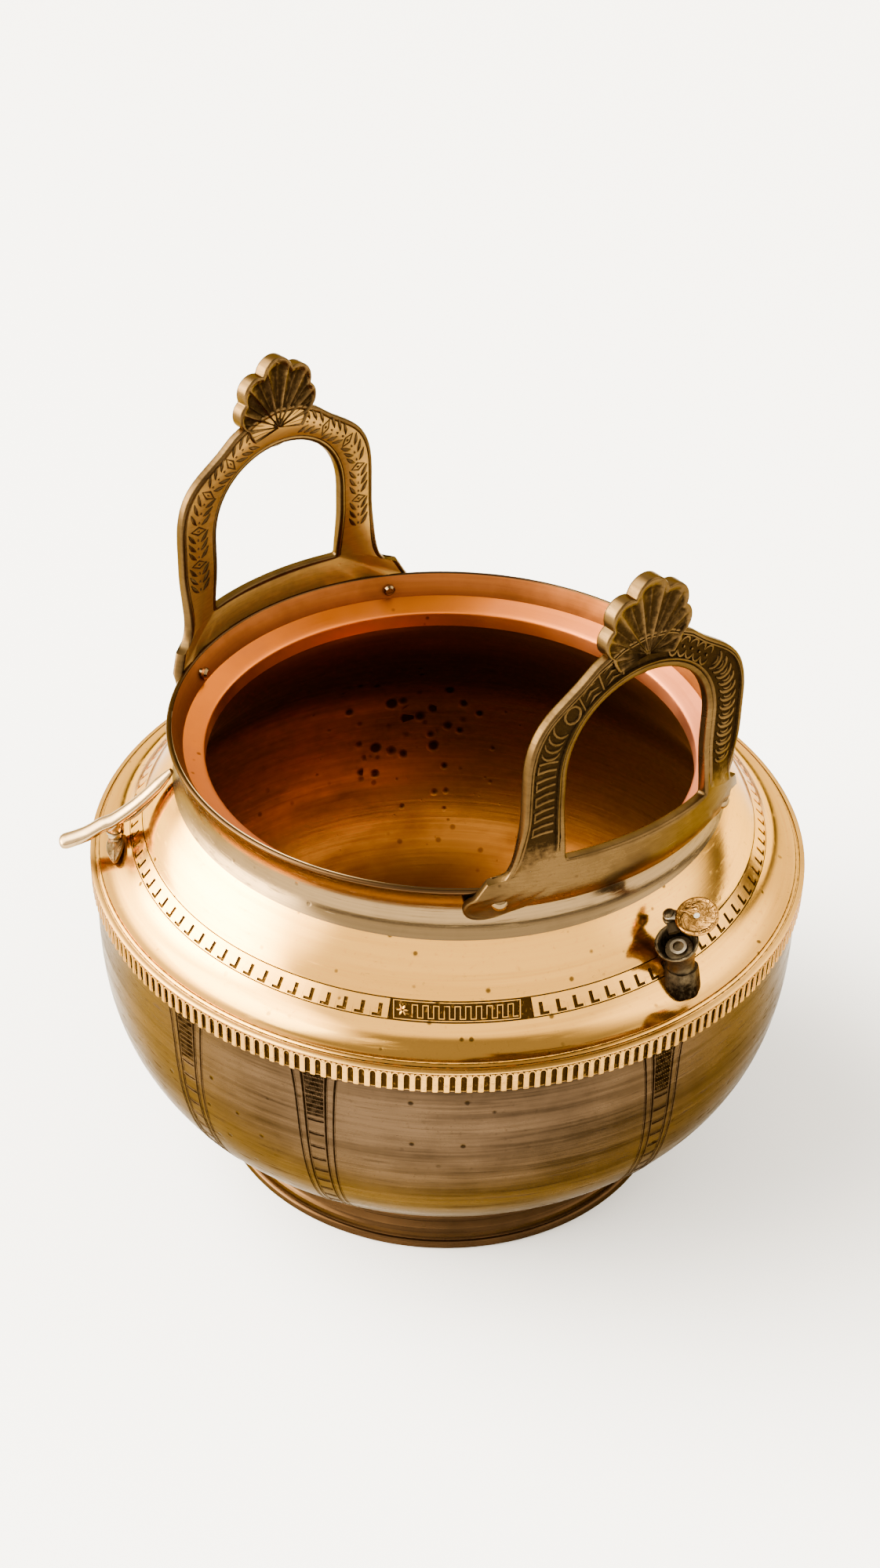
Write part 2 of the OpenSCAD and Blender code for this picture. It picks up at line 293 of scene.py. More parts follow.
class Finish:
    """A metal's node tree, built up a node at a time."""

    def __init__(self, name):
        self.material = bpy.data.materials.new(name)
        self.material.use_nodes = True
        self.tree = self.material.node_tree
        self.shader = self.tree.nodes["Principled BSDF"]
        self.shader.inputs["Metallic"].default_value = 1
        self.shader.inputs["Specular Tint"].default_value = EDGE_TINT
        self.place = self.add("ShaderNodeTexCoord").outputs["Object"]

    def add(self, kind, inputs=None, **settings):
        made = self.tree.nodes.new(kind)
        for key, value in settings.items():
            setattr(made, key, value)
        for key, value in (inputs or {}).items():
            if isinstance(value, bpy.types.NodeSocket):
                self.tree.links.new(value, made.inputs[key])
            else:
                made.inputs[key].default_value = value
        return made

    def math(self, operation, first, second=0.0, clamp=False):
        return self.add("ShaderNodeMath", {0: first, 1: second}, operation=operation,
                        use_clamp=clamp).outputs[0]

    def remap(self, value, low, high, start=0.0, end=1.0):
        return self.add("ShaderNodeMapRange", {"Value": value, "From Min": low, "From Max": high,
                                               "To Min": start, "To Max": end}).outputs["Result"]

    def stretched(self, scale):
        return self.add("ShaderNodeMapping", {"Vector": self.place, "Scale": scale}).outputs["Vector"]

    def noise(self, vector, scale, detail=4.0, roughness=0.55):
        return self.add("ShaderNodeTexNoise", {"Vector": vector, "Scale": scale, "Detail": detail,
                                               "Roughness": roughness}).outputs["Fac"]

    def lathe_marks(self, slope, fineness, wander=14.0):
        """Fine rings round the pot: quick along the wall, slow round it."""
        parts = self.add("ShaderNodeSeparateXYZ", {0: self.place})
        x, y, z = parts.outputs
        squares = self.math("ADD", self.math("MULTIPLY", x, x), self.math("MULTIPLY", y, y))
        around = self.math("SQRT", squares)
        climb = self.math("ADD", z, self.math("MULTIPLY", around, slope))
        scaled = [self.math("MULTIPLY", value, factor)
                  for value, factor in ((x, wander), (y, wander), (climb, fineness))]
        vector = self.add("ShaderNodeCombineXYZ", dict(enumerate(scaled))).outputs[0]
        return self.noise(vector, 1.0, 5.0, 0.65)

    def specks(self, scale, size, patch_scale, patch_level):
        """Small pits, gathered in patches."""
        cells = self.add("ShaderNodeTexVoronoi", {"Vector": self.place, "Scale": scale})
        close = self.remap(cells.outputs["Distance"], size, size * 0.55)
        patch = self.remap(self.noise(self.place, patch_scale, 3.0), patch_level, patch_level + 0.06)
        return self.math("MULTIPLY", close, patch, clamp=True)

    def mix(self, amount, first, second):
        inputs = {"Fac": amount, "Color1": first, "Color2": second}
        return self.add("ShaderNodeMixRGB", inputs).outputs[0]

    def relief(self):
        return self.add("ShaderNodeAttribute", attribute_name="relief").outputs["Fac"]

    def done(self, colour, roughness, height, depth):
        bump = self.add("ShaderNodeBump", {"Height": height, "Strength": 1.0, "Distance": depth})
        self.tree.links.new(colour, self.shader.inputs["Base Color"])
        self.tree.links.new(roughness, self.shader.inputs["Roughness"])
        self.tree.links.new(bump.outputs["Normal"], self.shader.inputs["Normal"])
        return self.material


def worked_metal(name, bright, dull, stain, rough, marks, depth, cloud=(9.0, 0.45, 0.65),
                 specks=(170.0, 0.16, 22.0, 0.56), carved=False, scuffs=0.0, inner_highlight=None, streaks=0.0):
    """Brass, bronze or copper: tool marks, clouds of tarnish, pits, and dark recesses if carved.

    rough is the lowest and highest roughness, marks the slope, fineness and wander of the tool
    marks, and a slope of None leaves them in three directions as on a cast and filed piece.
    scuffs and streaks say how strong the scratches and the broad rings of tarnish are, and inner_highlight, the
    colour of a carved piece's inner face, is a painted highlight: it is mixed in where relief runs above 1.2,
    standing in for light that face doesn't catch."""
    finish = Finish(name)
    slope, fineness, wander = marks
    if slope is None:
        lines = finish.noise(finish.stretched((fineness, fineness, wander)), 1.0, 5.0, 0.65)
    else:
        lines = finish.lathe_marks(slope, fineness, wander)
    clouds = finish.remap(finish.noise(finish.place, cloud[0], 7.0, 0.62), cloud[1], cloud[2])
    fine = finish.remap(lines, 0.35, 0.68)
    tone = finish.math("ADD", finish.math("MULTIPLY", clouds, 0.75),
                       finish.math("MULTIPLY", fine, 0.3), clamp=True)
    if streaks:
        broad = finish.remap(finish.lathe_marks(slope, fineness / 6, wander / 2.5), 0.38, 0.62,
                             -streaks, streaks)
        tone = finish.math("ADD", tone, broad, clamp=True)
    colour = finish.mix(tone, bright, dull)
    pits = finish.specks(*specks)
    colour = finish.mix(finish.math("MULTIPLY", pits, 0.85), colour, stain)
    roughness = finish.remap(tone, 0.0, 1.0, rough[0], rough[1])
    height = finish.math("SUBTRACT", finish.math("MULTIPLY", lines, 0.5),
                         finish.math("MULTIPLY", pits, 1.5))
    if scuffs:
        scratch = finish.noise(finish.stretched((28.0, 160.0, 900.0)), 1.0, 2.0)
        worn = finish.remap(scratch, 0.60, 0.72, 0.0, scuffs)
        roughness = finish.math("ADD", roughness, worn, clamp=True)
        colour = finish.mix(worn, colour, dull)
    if carved:
        lift = finish.relief()
        grime = finish.noise(finish.place, 520.0, 5.0, 0.7)
        edge = finish.math("ADD", lift, finish.remap(grime, 0.32, 0.68, -0.30, 0.34))
        clean = finish.remap(edge, 0.14, 0.86)
        colour = finish.mix(clean, stain, colour)
        grit = finish.remap(clean, 1.0, 0.0, 0.0, 0.35)
        roughness = finish.math("ADD", roughness, grit, clamp=True)
    # Painted highlight: where relief runs above 1.2, on a handle's inner face, the colour is mixed towards a
    # lighter one, standing in for light that face doesn't catch. That face is also made a little rougher.
    if inner_highlight:
        inner = finish.remap(lift, 1.2, 1.8)
        painted_inner_highlight = finish.math("MULTIPLY", inner, finish.remap(tone, 0.0, 1.0, 1.0, 0.45))
        colour = finish.mix(painted_inner_highlight, colour, inner_highlight)
        roughness = finish.math("ADD", roughness, finish.math("MULTIPLY", inner, 0.12), clamp=True)
    return finish.done(colour, roughness, height, depth)


def lip_ledge_metal(name):
    """The ledge: burnished orange copper that turns pinkish on one side."""
    finish = Finish(name)
    lines = finish.lathe_marks(0.4, 900.0, 14.0)
    clouds = finish.remap(finish.noise(finish.place, 22.0, 6.0), 0.4, 0.66)
    x, y, _ = finish.add("ShaderNodeSeparateXYZ", {0: finish.place}).outputs
    turn = finish.math("SUBTRACT", finish.math("MULTIPLY", x, 0.9), y)
    pink = finish.math("ADD", finish.remap(turn, -50 * MM, 60 * MM),
                       finish.remap(clouds, 0.0, 1.0, -0.1, 0.2), clamp=True)
    colour = finish.mix(pink, paint(186, 98, 20), paint(190, 112, 76))
    colour = finish.mix(finish.math("MULTIPLY", clouds, 0.6), colour, paint(150, 84, 44))
    colour = finish.mix(finish.math("MULTIPLY", finish.specks(140.0, 0.15, 18.0, 0.54), 0.7), colour,
                        paint(76, 36, 18))
    return finish.done(colour, finish.remap(clouds, 0.0, 1.0, 0.32, 0.5), lines, 0.00006)


CORROSION = (-16 * MM, 112 * MM, 92 * MM)


def copper_wall(name):
    """The inner pot: brushed red copper, redder low down, with painted shade darkening it under its neck, and a
    cluster of dark corrosion on its far wall."""
    finish = Finish(name)
    lines = finish.lathe_marks(0.6, 420.0, 11.0)
    smears = finish.remap(finish.noise(finish.stretched((26.0, 26.0, 60.0)), 1.0, 6.0, 0.6), 0.38, 0.66)
    tone = finish.math("ADD", finish.math("MULTIPLY", smears, 0.6),
                       finish.remap(lines, 0.35, 0.7, 0.0, 0.35), clamp=True)
    colour = finish.mix(tone, paint(162, 108, 42), paint(94, 55, 18))
    z = finish.add("ShaderNodeSeparateXYZ", {0: finish.place}).outputs[2]
    colour = finish.mix(finish.remap(z, 75 * MM, 32 * MM, 0.0, 0.85), colour, paint(102, 54, 13))
    # Painted shade: the wall is painted darker from 95 mm up towards the neck, standing in for the shade under the
    # neck.
    colour = finish.mix(finish.remap(z, 95 * MM, 150 * MM, 0.0, 0.7), colour, paint(66, 32, 10))
    reach = finish.add("ShaderNodeVectorMath", {0: finish.place, 1: CORROSION}, operation="DISTANCE")
    near = finish.remap(reach.outputs["Value"], 48 * MM, 14 * MM, 0.0, 1.0)
    cells = finish.add("ShaderNodeTexVoronoi", {"Vector": finish.place, "Scale": 165.0})
    chance = finish.add("ShaderNodeSeparateColor", {0: cells.outputs["Color"]}).outputs[0]
    chosen = finish.math("MULTIPLY", near, finish.remap(chance, 0.20, 0.85, 0.0, 0.50))
    blots = finish.remap(finish.math("SUBTRACT", chosen, cells.outputs["Distance"]),
                         -0.08, 0.12, 0.0, 0.92)
    colour = finish.mix(blots, colour, paint(40, 16, 5))
    colour = finish.mix(finish.math("MULTIPLY", finish.specks(95.0, 0.14, 16.0, 0.52), 0.6), colour,
                        paint(56, 24, 8))
    roughness = finish.remap(tone, 0.0, 1.0, 0.32, 0.50)
    height = finish.math("SUBTRACT", lines, finish.math("MULTIPLY", blots, 2.0))
    return finish.done(colour, roughness, height, 0.00012)


def hammered(name, bright, dull, stain):
    """The cap: swirled and planished brass with dark hairlines."""
    finish = Finish(name)
    swirl = finish.add("ShaderNodeTexNoise", {"Vector": finish.place, "Scale": 260.0, "Detail": 3.0,
                                              "Distortion": 2.2}).outputs["Fac"]
    contour = finish.math("ABSOLUTE", finish.math("SUBTRACT", swirl, 0.5))
    hair = finish.remap(contour, 0.0, 0.05, 1.0, 0.0)
    patches = finish.remap(finish.noise(finish.place, 120.0, 5.0), 0.4, 0.65)
    colour = finish.mix(patches, bright, dull)
    colour = finish.mix(finish.math("MULTIPLY", hair, 0.85), colour, stain)
    roughness = finish.remap(patches, 0.0, 1.0, 0.22, 0.38)
    return finish.done(colour, roughness, swirl, 0.00035)


GOLD = paint(208, 151, 66)
OLIVE = paint(132, 98, 46)
UMBER = paint(46, 32, 14)

polished = worked_metal("polished_brass", GOLD, paint(180, 128, 52), UMBER, (0.11, 0.20),
                        (-1.0, 900.0, 10.0), 0.00002, cloud=(7.0, 0.5, 0.75), carved=True, scuffs=0.12,
                        specks=(130.0, 0.14, 14.0, 0.45), streaks=0.35)
neck_metal = worked_metal("neck_brass", paint(108, 88, 60), paint(68, 55, 37), UMBER, (0.14, 0.30),
                          (0.2, 1500.0, 8.0), 0.00005, scuffs=0.25)
# The belly's colours are partly its satin finish and partly painted shade. They are kept dark to stand in for
# shade on the lower belly, which would otherwise mirror the bright floor.
satin = worked_metal("satin_brass", paint(73, 58, 43), paint(39, 31, 23), paint(16, 12, 7),
                     (0.22, 0.40), (0.45, 1000.0, 14.0), 0.00008, cloud=(11.0, 0.40, 0.66),
                     carved=True, scuffs=0.3, specks=(120.0, 0.14, 15.0, 0.52), streaks=0.3)
band_metal = worked_metal("chased_brass", paint(196, 144, 68), OLIVE, paint(40, 28, 14), (0.18, 0.36),
                          (0.4, 1400.0, 16.0), 0.00004, carved=True)
foot_metal = worked_metal("foot_brass", paint(66, 48, 30), paint(40, 29, 18), UMBER, (0.18, 0.36),
                          (0.3, 1300.0, 9.0), 0.00005, scuffs=0.15)
copper = copper_wall("aged_copper")
lip_metal = lip_ledge_metal("pink_copper")
throat_metal = worked_metal("browned_copper", paint(118, 68, 32), paint(82, 46, 21), paint(46, 23, 10),
                            (0.42, 0.60), (0.4, 700.0, 18.0), 0.00006, cloud=(22.0, 0.40, 0.66))
# The lighter colour for the handle's inner face is a painted highlight.
handle_metal = worked_metal("antique_brass", paint(78, 60, 36), paint(46, 35, 21), paint(36, 27, 16),
                            (0.24, 0.42), (None, 130.0, 1300.0), 0.00008, cloud=(26.0, 0.38, 0.66),
                            carved=True, inner_highlight=paint(150, 112, 54))
bronze = worked_metal("dark_bronze", paint(98, 84, 62), paint(54, 46, 34), paint(20, 16, 11),
                      (0.22, 0.42), (None, 500.0, 160.0), 0.00012, cloud=(60.0, 0.38, 0.62),
                      carved=True)
nickel = worked_metal("worn_nickel", paint(160, 148, 126), paint(106, 92, 70), paint(50, 42, 32),
                      (0.2, 0.4), (None, 400.0, 400.0), 0.00004, cloud=(90.0, 0.4, 0.65))
cap_metal = hammered("pale_hammered_brass", paint(158, 112, 54), paint(118, 82, 38), paint(40, 27, 12))
arm_metal = worked_metal("pale_brass", paint(160, 134, 96), paint(118, 92, 58), paint(80, 60, 34),
                         (0.16, 0.32), (None, 300.0, 120.0), 0.00004, cloud=(40.0, 0.42, 0.7),
                         carved=True)


# ---------------------------------------------------------------- turned walls

BELLY_RINGS = 60


def vessel_wall(name, outer, wall):
    """A closed vessel of even wall, from its outer section."""
    inner = inset(outer, wall)
    inner[0].x = outer[0].x
    return turned(name, outer + inner[::-1], vessel=True)


def lower_bowl():
    outer = rounded_bowl(BELLY_R, BOWL_DEPTH, BELLY_Z, BELLY_RINGS) + [Vector((BELLY_R, SEAM_Z))]
    return vessel_wall("lower_bowl_wall", outer, 1.6 * MM)


shoulder_steps = [mm(129.5, 123.5), mm(129.5, 126.6), mm(129.0, 127.5), mm(128.3, 127.7),
                  mm(128.5, 128.1), mm(127.9, 128.5), mm(127.5, 128.5)]
cove = bezier(mm(127.4, 129.0), mm(123.5, 129.3), mm(119.5, 131.6), mm(116.9, 134.9), 14)
TICK_OUT, TICK_IN = mm(116.1, 135.9), mm(111.2, 141.4)
tick_up = (TICK_IN - TICK_OUT).normalized()
tick_normal = Vector((tick_up.y, -tick_up.x))
GROOVE = 0.7 * MM
dome = bezier(mm(111.0, 141.7), mm(107.2, 148.2), mm(101.5, 155.5), mm(97.1, 160.9), 24)


def shoulder_shell():
    channel = [TICK_OUT - GROOVE * tick_normal, TICK_IN - GROOVE * tick_normal]
    outer = shoulder_steps + cove + [TICK_OUT] + channel + [TICK_IN] + dome
    smooth = [shoulder_steps[0]] + cove[::3] + [TICK_OUT, TICK_IN] + dome[::4]
    first = len(shoulder_steps) + len(cove) + 1
    return turned("shoulder_wall", outer + inset(smooth, 1.8 * MM)[::-1],
                  sunk=(3, 6, first, first + 1))


def neck_collar():
    outer = bezier(mm(99.8, 157.6), mm(97.8, 160.2), mm(96.5, 162.8), mm(96.4, 166.4), 12)[:-1]
    outer += bezier(mm(96.4, 166.4), mm(96.3, 170.4), mm(98.0, 174.6), mm(100.4, 178.0), 12)
    return turned("neck_wall", outer + inset(outer, 1.6 * MM)[::-1])


def line_inside(piece, metal):
    """A second finish on the faces that look towards the pot's axis."""
    piece.data.materials.append(metal)
    for face in piece.data.polygons:
        if face.center.x * face.normal.x + face.center.y * face.normal.y < 0:
            face.material_index = 1


def rim_bead():
    wire, sides = 0.95 * MM, 14
    centre = Vector((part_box("rim_bead")[1].x - wire, RIM_Z))
    section = [centre + polar(wire, math.tau * step / sides) for step in range(sides)]
    return turned("rim_wire", section)


def foot_ring():
    outer = [mm(87.5, 0), mm(88.1, 0.6), mm(88.1, 2.8), mm(87.6, 3.4), mm(86.9, 3.7), mm(86.7, 4.3),
             mm(86.9, 5.0), mm(86.9, 7.0), mm(86.3, 7.5), mm(85.8, 8.1), mm(85.6, 9.6), mm(85.4, 11.6),
             mm(84.9, 12.0), mm(84.6, 12.6), mm(84.4, 14.6), mm(84.1, 16.2), mm(83.4, 17.2),
             mm(83.0, 18.4), mm(82.7, 20.4), mm(82.4, 22.4)]
    inner = [mm(78.6, 20.95), mm(78.6, 8), mm(80, 8), mm(80, 0.5), mm(80.6, 0)]
    return turned("foot_wall", outer + inner)


def copper_liner():
    depth = 85 * MM
    low = rounded_bowl(LINER_R, depth, BELLY_Z, 30)
    high = bezier(mm(121.5, 106), mm(121.5, 124), mm(92, 141), mm(90.2, 160), 24)
    return vessel_wall("liner_wall", low + high + [mm(90.2, 166.3)], 1.2 * MM)


def liner_lip():
    top = [mm(87.8, 162), mm(87.8, 167)] + bezier(mm(87.9, 167.6), mm(88.2, 168.5), mm(90.5, 168.9),
                                                  mm(95.9, 171.4), 10)
    under = [mm(95.9, 170), mm(90.3, 167.6), mm(89, 166.4), mm(89, 162)]
    return turned("lip_ledge", top + under)


# ---------------------------------------------------------------- chased bands

TONGUES = 220
SLOT_HALF, SLOT_LOW, SLOT_HIGH = 1.15, 119.2, 125.3
LAND_SIZE = (1.2 * MM, 7.4 * MM, 0.75 * MM)
LAND_Z = 122.9 * MM
BELT_FLOOR_R = 130.35 * MM


def gadroon_band():
    """A sunk belt of round-topped slots with beaded rims, and raised lands between them."""
    belt = [mm(129.5, 118.8), mm(130.0, 118.8), mm(130.2, 119.3), mm(130.2, 126.4), mm(130.9, 126.9),
            mm(130.9, 127.4), mm(130.2, 127.8), mm(129.2, 127.8)]
    ring = turned("gadroon_belt", belt, sunk=(2, 3))
    pitch = math.tau * BAND_R / TONGUES
    arch = [polar(SLOT_HALF * MM, math.radians(angle)) + mm(0, SLOT_HIGH)
            for angle in (0, 45, 90, 135, 180)]
    outline = [mm(SLOT_HALF, SLOT_LOW)] + arch + [mm(-SLOT_HALF, SLOT_LOW)]
    rim = ridges("slot_rim", [(outline, even(0.36, len(outline)), False)], flatten=1.0)
    bpy.ops.mesh.primitive_cube_add(size=1, location=(pitch / 2, LAND_Z, 0), scale=LAND_SIZE)
    land = bpy.context.object
    bpy.ops.object.transform_apply(location=True, rotation=True, scale=True)
    mark_relief(land, [0.85] * len(land.data.vertices))
    tongue = joined("slot_rim", [rim, land])

    def place(across, height, proud):
        radius = BELT_FLOOR_R + proud * 1.7
        angle = across / BAND_R
        return Vector((radius * math.cos(angle), radius * math.sin(angle), height))

    placed(tongue, place)
    settle(tongue, 50)
    copies = [copied(tongue, about_axis(math.tau * step / TONGUES)) for step in range(1, TONGUES)]
    return joined("gadroon_belt", [ring, tongue] + copies)


TICK_PITCH = math.radians(3)
TICK_R = 113.6 * MM
TICK_SUNK = 0.5 * MM
PANEL = (math.radians(-98.2), math.radians(-77.1))


def tick_tile(side):
    """One tile of the tick band, with an L-shaped slot sunk into it; side is 1 or -1."""
    half = 0.5 * TICK_PITCH * TICK_R
    length = (TICK_IN - TICK_OUT).length
    lines_x = [-half, -0.85 * MM, 0.5 * MM, 2.4 * MM, half]
    lines_y = [0.45 * MM, 0.7 * MM, 1.65 * MM, 5.0 * MM, length - 0.45 * MM]
    bpy.ops.object.select_all(action="DESELECT")
    bpy.ops.mesh.primitive_grid_add(x_subdivisions=4, y_subdivisions=4, size=1)
    tile = bpy.context.object
    for index, vertex in enumerate(tile.data.vertices):
        vertex.co = (lines_x[index % 5], lines_y[index // 5], 0)
    bpy.ops.object.mode_set(mode="EDIT")
    skin = bmesh.from_edit_mesh(tile.data)
    slot = []
    for face in skin.faces:
        centre = face.calc_center_median()
        upright = lines_x[1] < centre.x < lines_x[2] and lines_y[1] < centre.y < lines_y[3]
        toe = lines_x[2] < centre.x < lines_x[3] and lines_y[1] < centre.y < lines_y[2]
        if upright or toe:
            slot.append(face)
    bmesh.ops.inset_region(skin, faces=slot, thickness=0.12 * MM, depth=-TICK_SUNK)
    rim = [edge for edge in skin.edges if edge.is_boundary]
    skirt = bmesh.ops.extrude_edge_only(skin, edges=rim)["geom"]
    for vertex in skirt:
        if isinstance(vertex, bmesh.types.BMVert):
            vertex.co.z -= GROOVE
    if side < 0:
        for vertex in skin.verts:
            vertex.co.x = -vertex.co.x
        bmesh.ops.reverse_faces(skin, faces=skin.faces)
    bmesh.update_edit_mesh(tile.data)
    bpy.ops.object.mode_set(mode="OBJECT")
    mark_relief(tile, [1.0 if vertex.co.z > -0.1 * MM else 0.0 for vertex in tile.data.vertices])
    placed(tile, laid_on([TICK_OUT, TICK_IN], 0.0))
    return settle(tile, 30)


def key_fret():
    """A square key pattern with a rosette, standing in the sunk panel at the front of the band."""
    low, high, step = 1.5 * MM, 5.6 * MM, 1.75 * MM
    start, end = (azimuth * TICK_R for azimuth in PANEL)
    middle = 0.5 * (start + end)
    position = start + 6.2 * MM - middle
    points = [Vector((position, low))]
    while position < end - middle - 2.5 * MM:
        points += [Vector((position, high)), Vector((position + step, high)),
                   Vector((position + step, low)), Vector((position + 2 * step, low))]
        position += 2 * step
    fret = [(points, even(0.36, len(points)), False)]
    rosette = Vector((start - middle + 3.0 * MM, 3.6 * MM))
    petals = [([rosette + polar(out * MM, math.tau * k / 6) for out in (0.4, 1.1, 1.9)],
               (0.25, 0.55, 0.2), False) for k in range(6)]
    border = [Vector((side - middle, height * MM))
              for side, height in ((start, 0.7), (end, 0.7), (end, 6.7), (start, 6.7))]
    dense = [corner.lerp(border[(index + 1) % 4], part / 12)
             for index, corner in enumerate(border) for part in range(12)]
    lines = fret + petals + [(dense, even(0.3, len(dense)), True)]
    piece = ridges("key_fret", lines, flatten=0.9)
    placed(piece, laid_on([TICK_OUT, TICK_IN], middle / TICK_R, lift=-GROOVE * 0.75))
    return settle(piece, 50)


def tick_band():
    """Tick tiles all round, mirrored on the two sides of the panel at the front."""
    copies = []
    tiles = {1: tick_tile(1), -1: tick_tile(-1)}
    for step in range(round(math.tau / TICK_PITCH)):
        azimuth = -math.pi + (step + 0.5) * TICK_PITCH
        if PANEL[0] - 0.4 * TICK_PITCH < azimuth < PANEL[1] + 0.4 * TICK_PITCH:
            continue
        side = 1 if PANEL[1] < azimuth < PANEL[1] + math.pi else -1
        copies.append(copied(tiles[side], about_axis(azimuth)))
    for tile in tiles.values():
        bpy.data.objects.remove(tile)
    return joined("tick_band", copies + [key_fret()])


STRAP_LENGTH, STRAP_TOP = 104 * MM, 0.4 * MM
STRAP_AZIMUTHS = (-132.5, -109, -55, 47.5, 71, 125)
CUTS = ((1.0, 0.87), (0.60, 0.45))
RUNG_FIRST, RUNG_STEP, RUNG_HALF = 22 * MM, 6.4 * MM, 0.55 * MM
STAIN_LIFT = 0.07 * MM


def strap_half(along):
    """Half the width of a belly strap, flared under the band and slim towards the foot."""
    part = along / STRAP_LENGTH
    return (3.6 + 4.2 * math.exp(-1.3 * part) + 0.9 * math.exp(-14 * part)) * MM


def strap_steps(steps):
    return [STRAP_TOP + (STRAP_LENGTH - STRAP_TOP) * step / steps for step in range(steps + 1)]


def strap_line(share, width):
    """A line down the strap at a share of its half width from the middle."""
    points = [Vector((share * strap_half(along), along)) for along in strap_steps(40)]
    return (points, even(width, len(points)), False)


def rungs():
    """Where each rung is along the strap, and how far it reaches to each side."""
    places = []
    along = RUNG_FIRST
    while along < STRAP_LENGTH - 5 * MM:
        places.append((along, 0.44 * strap_half(along)))
        along += RUNG_STEP
    return places


def belly_straps():
    """Ladder straps down the belly: paired cuts with raised burrs, rungs, and a punched panel."""
    lines = [strap_line(side * share, 0.2) for side in (-1, 1) for cut in CUTS for share in cut]
    for along, reach in rungs():
        for shift in (-RUNG_HALF, RUNG_HALF):
            lines.append(([Vector((-reach, along + shift)), Vector((0, along + shift + 0.2 * MM)),
                           Vector((reach, along + shift))], even(0.17, 3), False))
    for row in range(9):
        along = (2.6 + 2.0 * row) * MM
        reach = 0.40 * strap_half(along)
        for column in range(-3, 4):
            centre = Vector((reach * column / 3.2 + 0.35 * MM * (row % 2), along))
            lines.append(([centre - mm(0.35, 0.25), centre + mm(0.35, 0.25)], (0.34, 0.22), False))
    strap = joined("strap", [ridges("strap", lines, flatten=0.9), strap_stain()])
    belly = [Vector((BELLY_R, SEAM_Z))] + rounded_bowl(BELLY_R, BOWL_DEPTH, BELLY_Z, BELLY_RINGS)[::-1]
    lay = laid_on(belly[::-1], 0.0)
    total = sum((after - before).length for before, after in zip(belly, belly[1:]))
    start = SEAM_Z - SLOT_LOW * MM
    lean = 0.03
    placed(strap, lambda across, along, proud: lay(across + lean * along, total - start - along, proud))
    flipped(strap)
    settle(strap, 50)
    copies = [copied(strap, about_axis(math.radians(azimuth))) for azimuth in STRAP_AZIMUTHS]
    bpy.data.objects.remove(strap)
    return joined("belly_straps", copies)


def strap_stain():
    """Dark beds in the paired cuts, the rungs and the punched panel, a hair above the belly."""
    def bed(rows, relief=0):
        skin = [[(Vector((across, along, STAIN_LIFT)), relief) for across, along in row]
                for row in rows]
        return loft("bed", skin, close_rows=False, close_columns=False)

    def shares(along, *parts):
        return [(part * strap_half(along), along) for part in parts]

    beds = [bed([shares(along, side * outer, side * inner) for along in strap_steps(60)])
            for side in (-1, 1) for outer, inner in CUTS]
    for along, reach in rungs():
        beds.append(bed([[(x, along - RUNG_HALF), (x, along + RUNG_HALF)] for x in (-reach, 0, reach)]))
    beds.append(bed([shares(row * MM, -0.45, -0.15, 0.15, 0.45) for row in range(1, 21)], 0.2))
    return joined("stain", beds)


# ---------------------------------------------------------------- handles

def spaced(points, steps):
    """The same line with evenly spaced points."""
    lengths = [0.0]
    for index in range(1, len(points)):
        lengths.append(lengths[-1] + (points[index] - points[index - 1]).length)
    made = []
    for step in range(steps + 1):
        goal = lengths[-1] * step / steps
        index = 1
        while index < len(points) - 1 and lengths[index] < goal:
            index += 1
        run = max(lengths[index] - lengths[index - 1], 1e-9)
        made.append(points[index - 1].lerp(points[index], min(1.0, (goal - lengths[index - 1]) / run)))
    return made


def half_handle():
    """Pairs of points from the opening's edge to the outer edge, from the arch's top down one
    side to the middle of the rail, with how deeply the face is carved there."""
    stretches = [
        (bezier(mm(0, 249.2), mm(15, 249.2), mm(29.6, 239), mm(29.6, 221), 16),
         [mm(0, 264), mm(10, 262.5), mm(19.5, 258), mm(26, 253), mm(33, 248.5)]
         + bezier(mm(33, 248.5), mm(39.5, 244.3), mm(45.4, 239), mm(45.4, 224), 10), 44, 1, 1),
        ([mm(29.6, 221), mm(29.6, 197)], [mm(45.4, 224), mm(45.4, 202)], 16, 1, 1),
        ([mm(29.6, 197), mm(29.6, 191.6), mm(29.3, 190.9), mm(28.6, 190.7), mm(24, 190.7)],
         bezier(mm(45.4, 202), mm(45.4, 190), mm(46, 184), mm(53, 184), 8) + [mm(56.4, 177)]
         + bezier(mm(57.4, 173), mm(57.8, 167), mm(53, 165.5), mm(48, 167.8), 6) + [mm(40, 171.6)],
         36, 1, 0),
        ([mm(24, 190.7), mm(0, 190.7)], [mm(40, 171.6), mm(0, 171.6)], 16, 0, 0)]
    rows = []
    for inner, outer, steps, start, end in stretches:
        pairs = zip(spaced(inner, steps), spaced(outer, steps))
        for step, (near, far) in enumerate(pairs):
            fade = 1.0 if start and end else start * max(0.0, 1 - 3.0 * step / steps)
            if step or not rows:
                rows.append((near, far, fade))
    return rows


# Across the casting: distance from the edge, rise above the face, and relief
FACE_SUNK = 0.7
EDGE = ((0.0, -0.9), (0.15, -0.35), (0.7, 0.0))
INNER_BORDER = ((1.9, 0.0, 1), (2.15, -0.3, 0.2), (2.4, 0.0, 1), (2.7, 0.3, 1), (3.2, 0.3, 1),
                (3.5, -FACE_SUNK, 0))
OUTER_BORDER = ((1.1, 0.0, 1), (1.3, -0.25, 0.2), (1.5, 0.25, 1), (1.9, 0.25, 1), (2.2, -FACE_SUNK, 0))
# Relief above 1 on the back marks where the inner face gets its painted highlight.
BACK_LINE = ((1.6, 0, 1.5), (1.9, -0.25, 0.4), (2.2, 0, 1.8))
SCULPTED_SHIFT = 0.65
CARVED_ROWS = 61


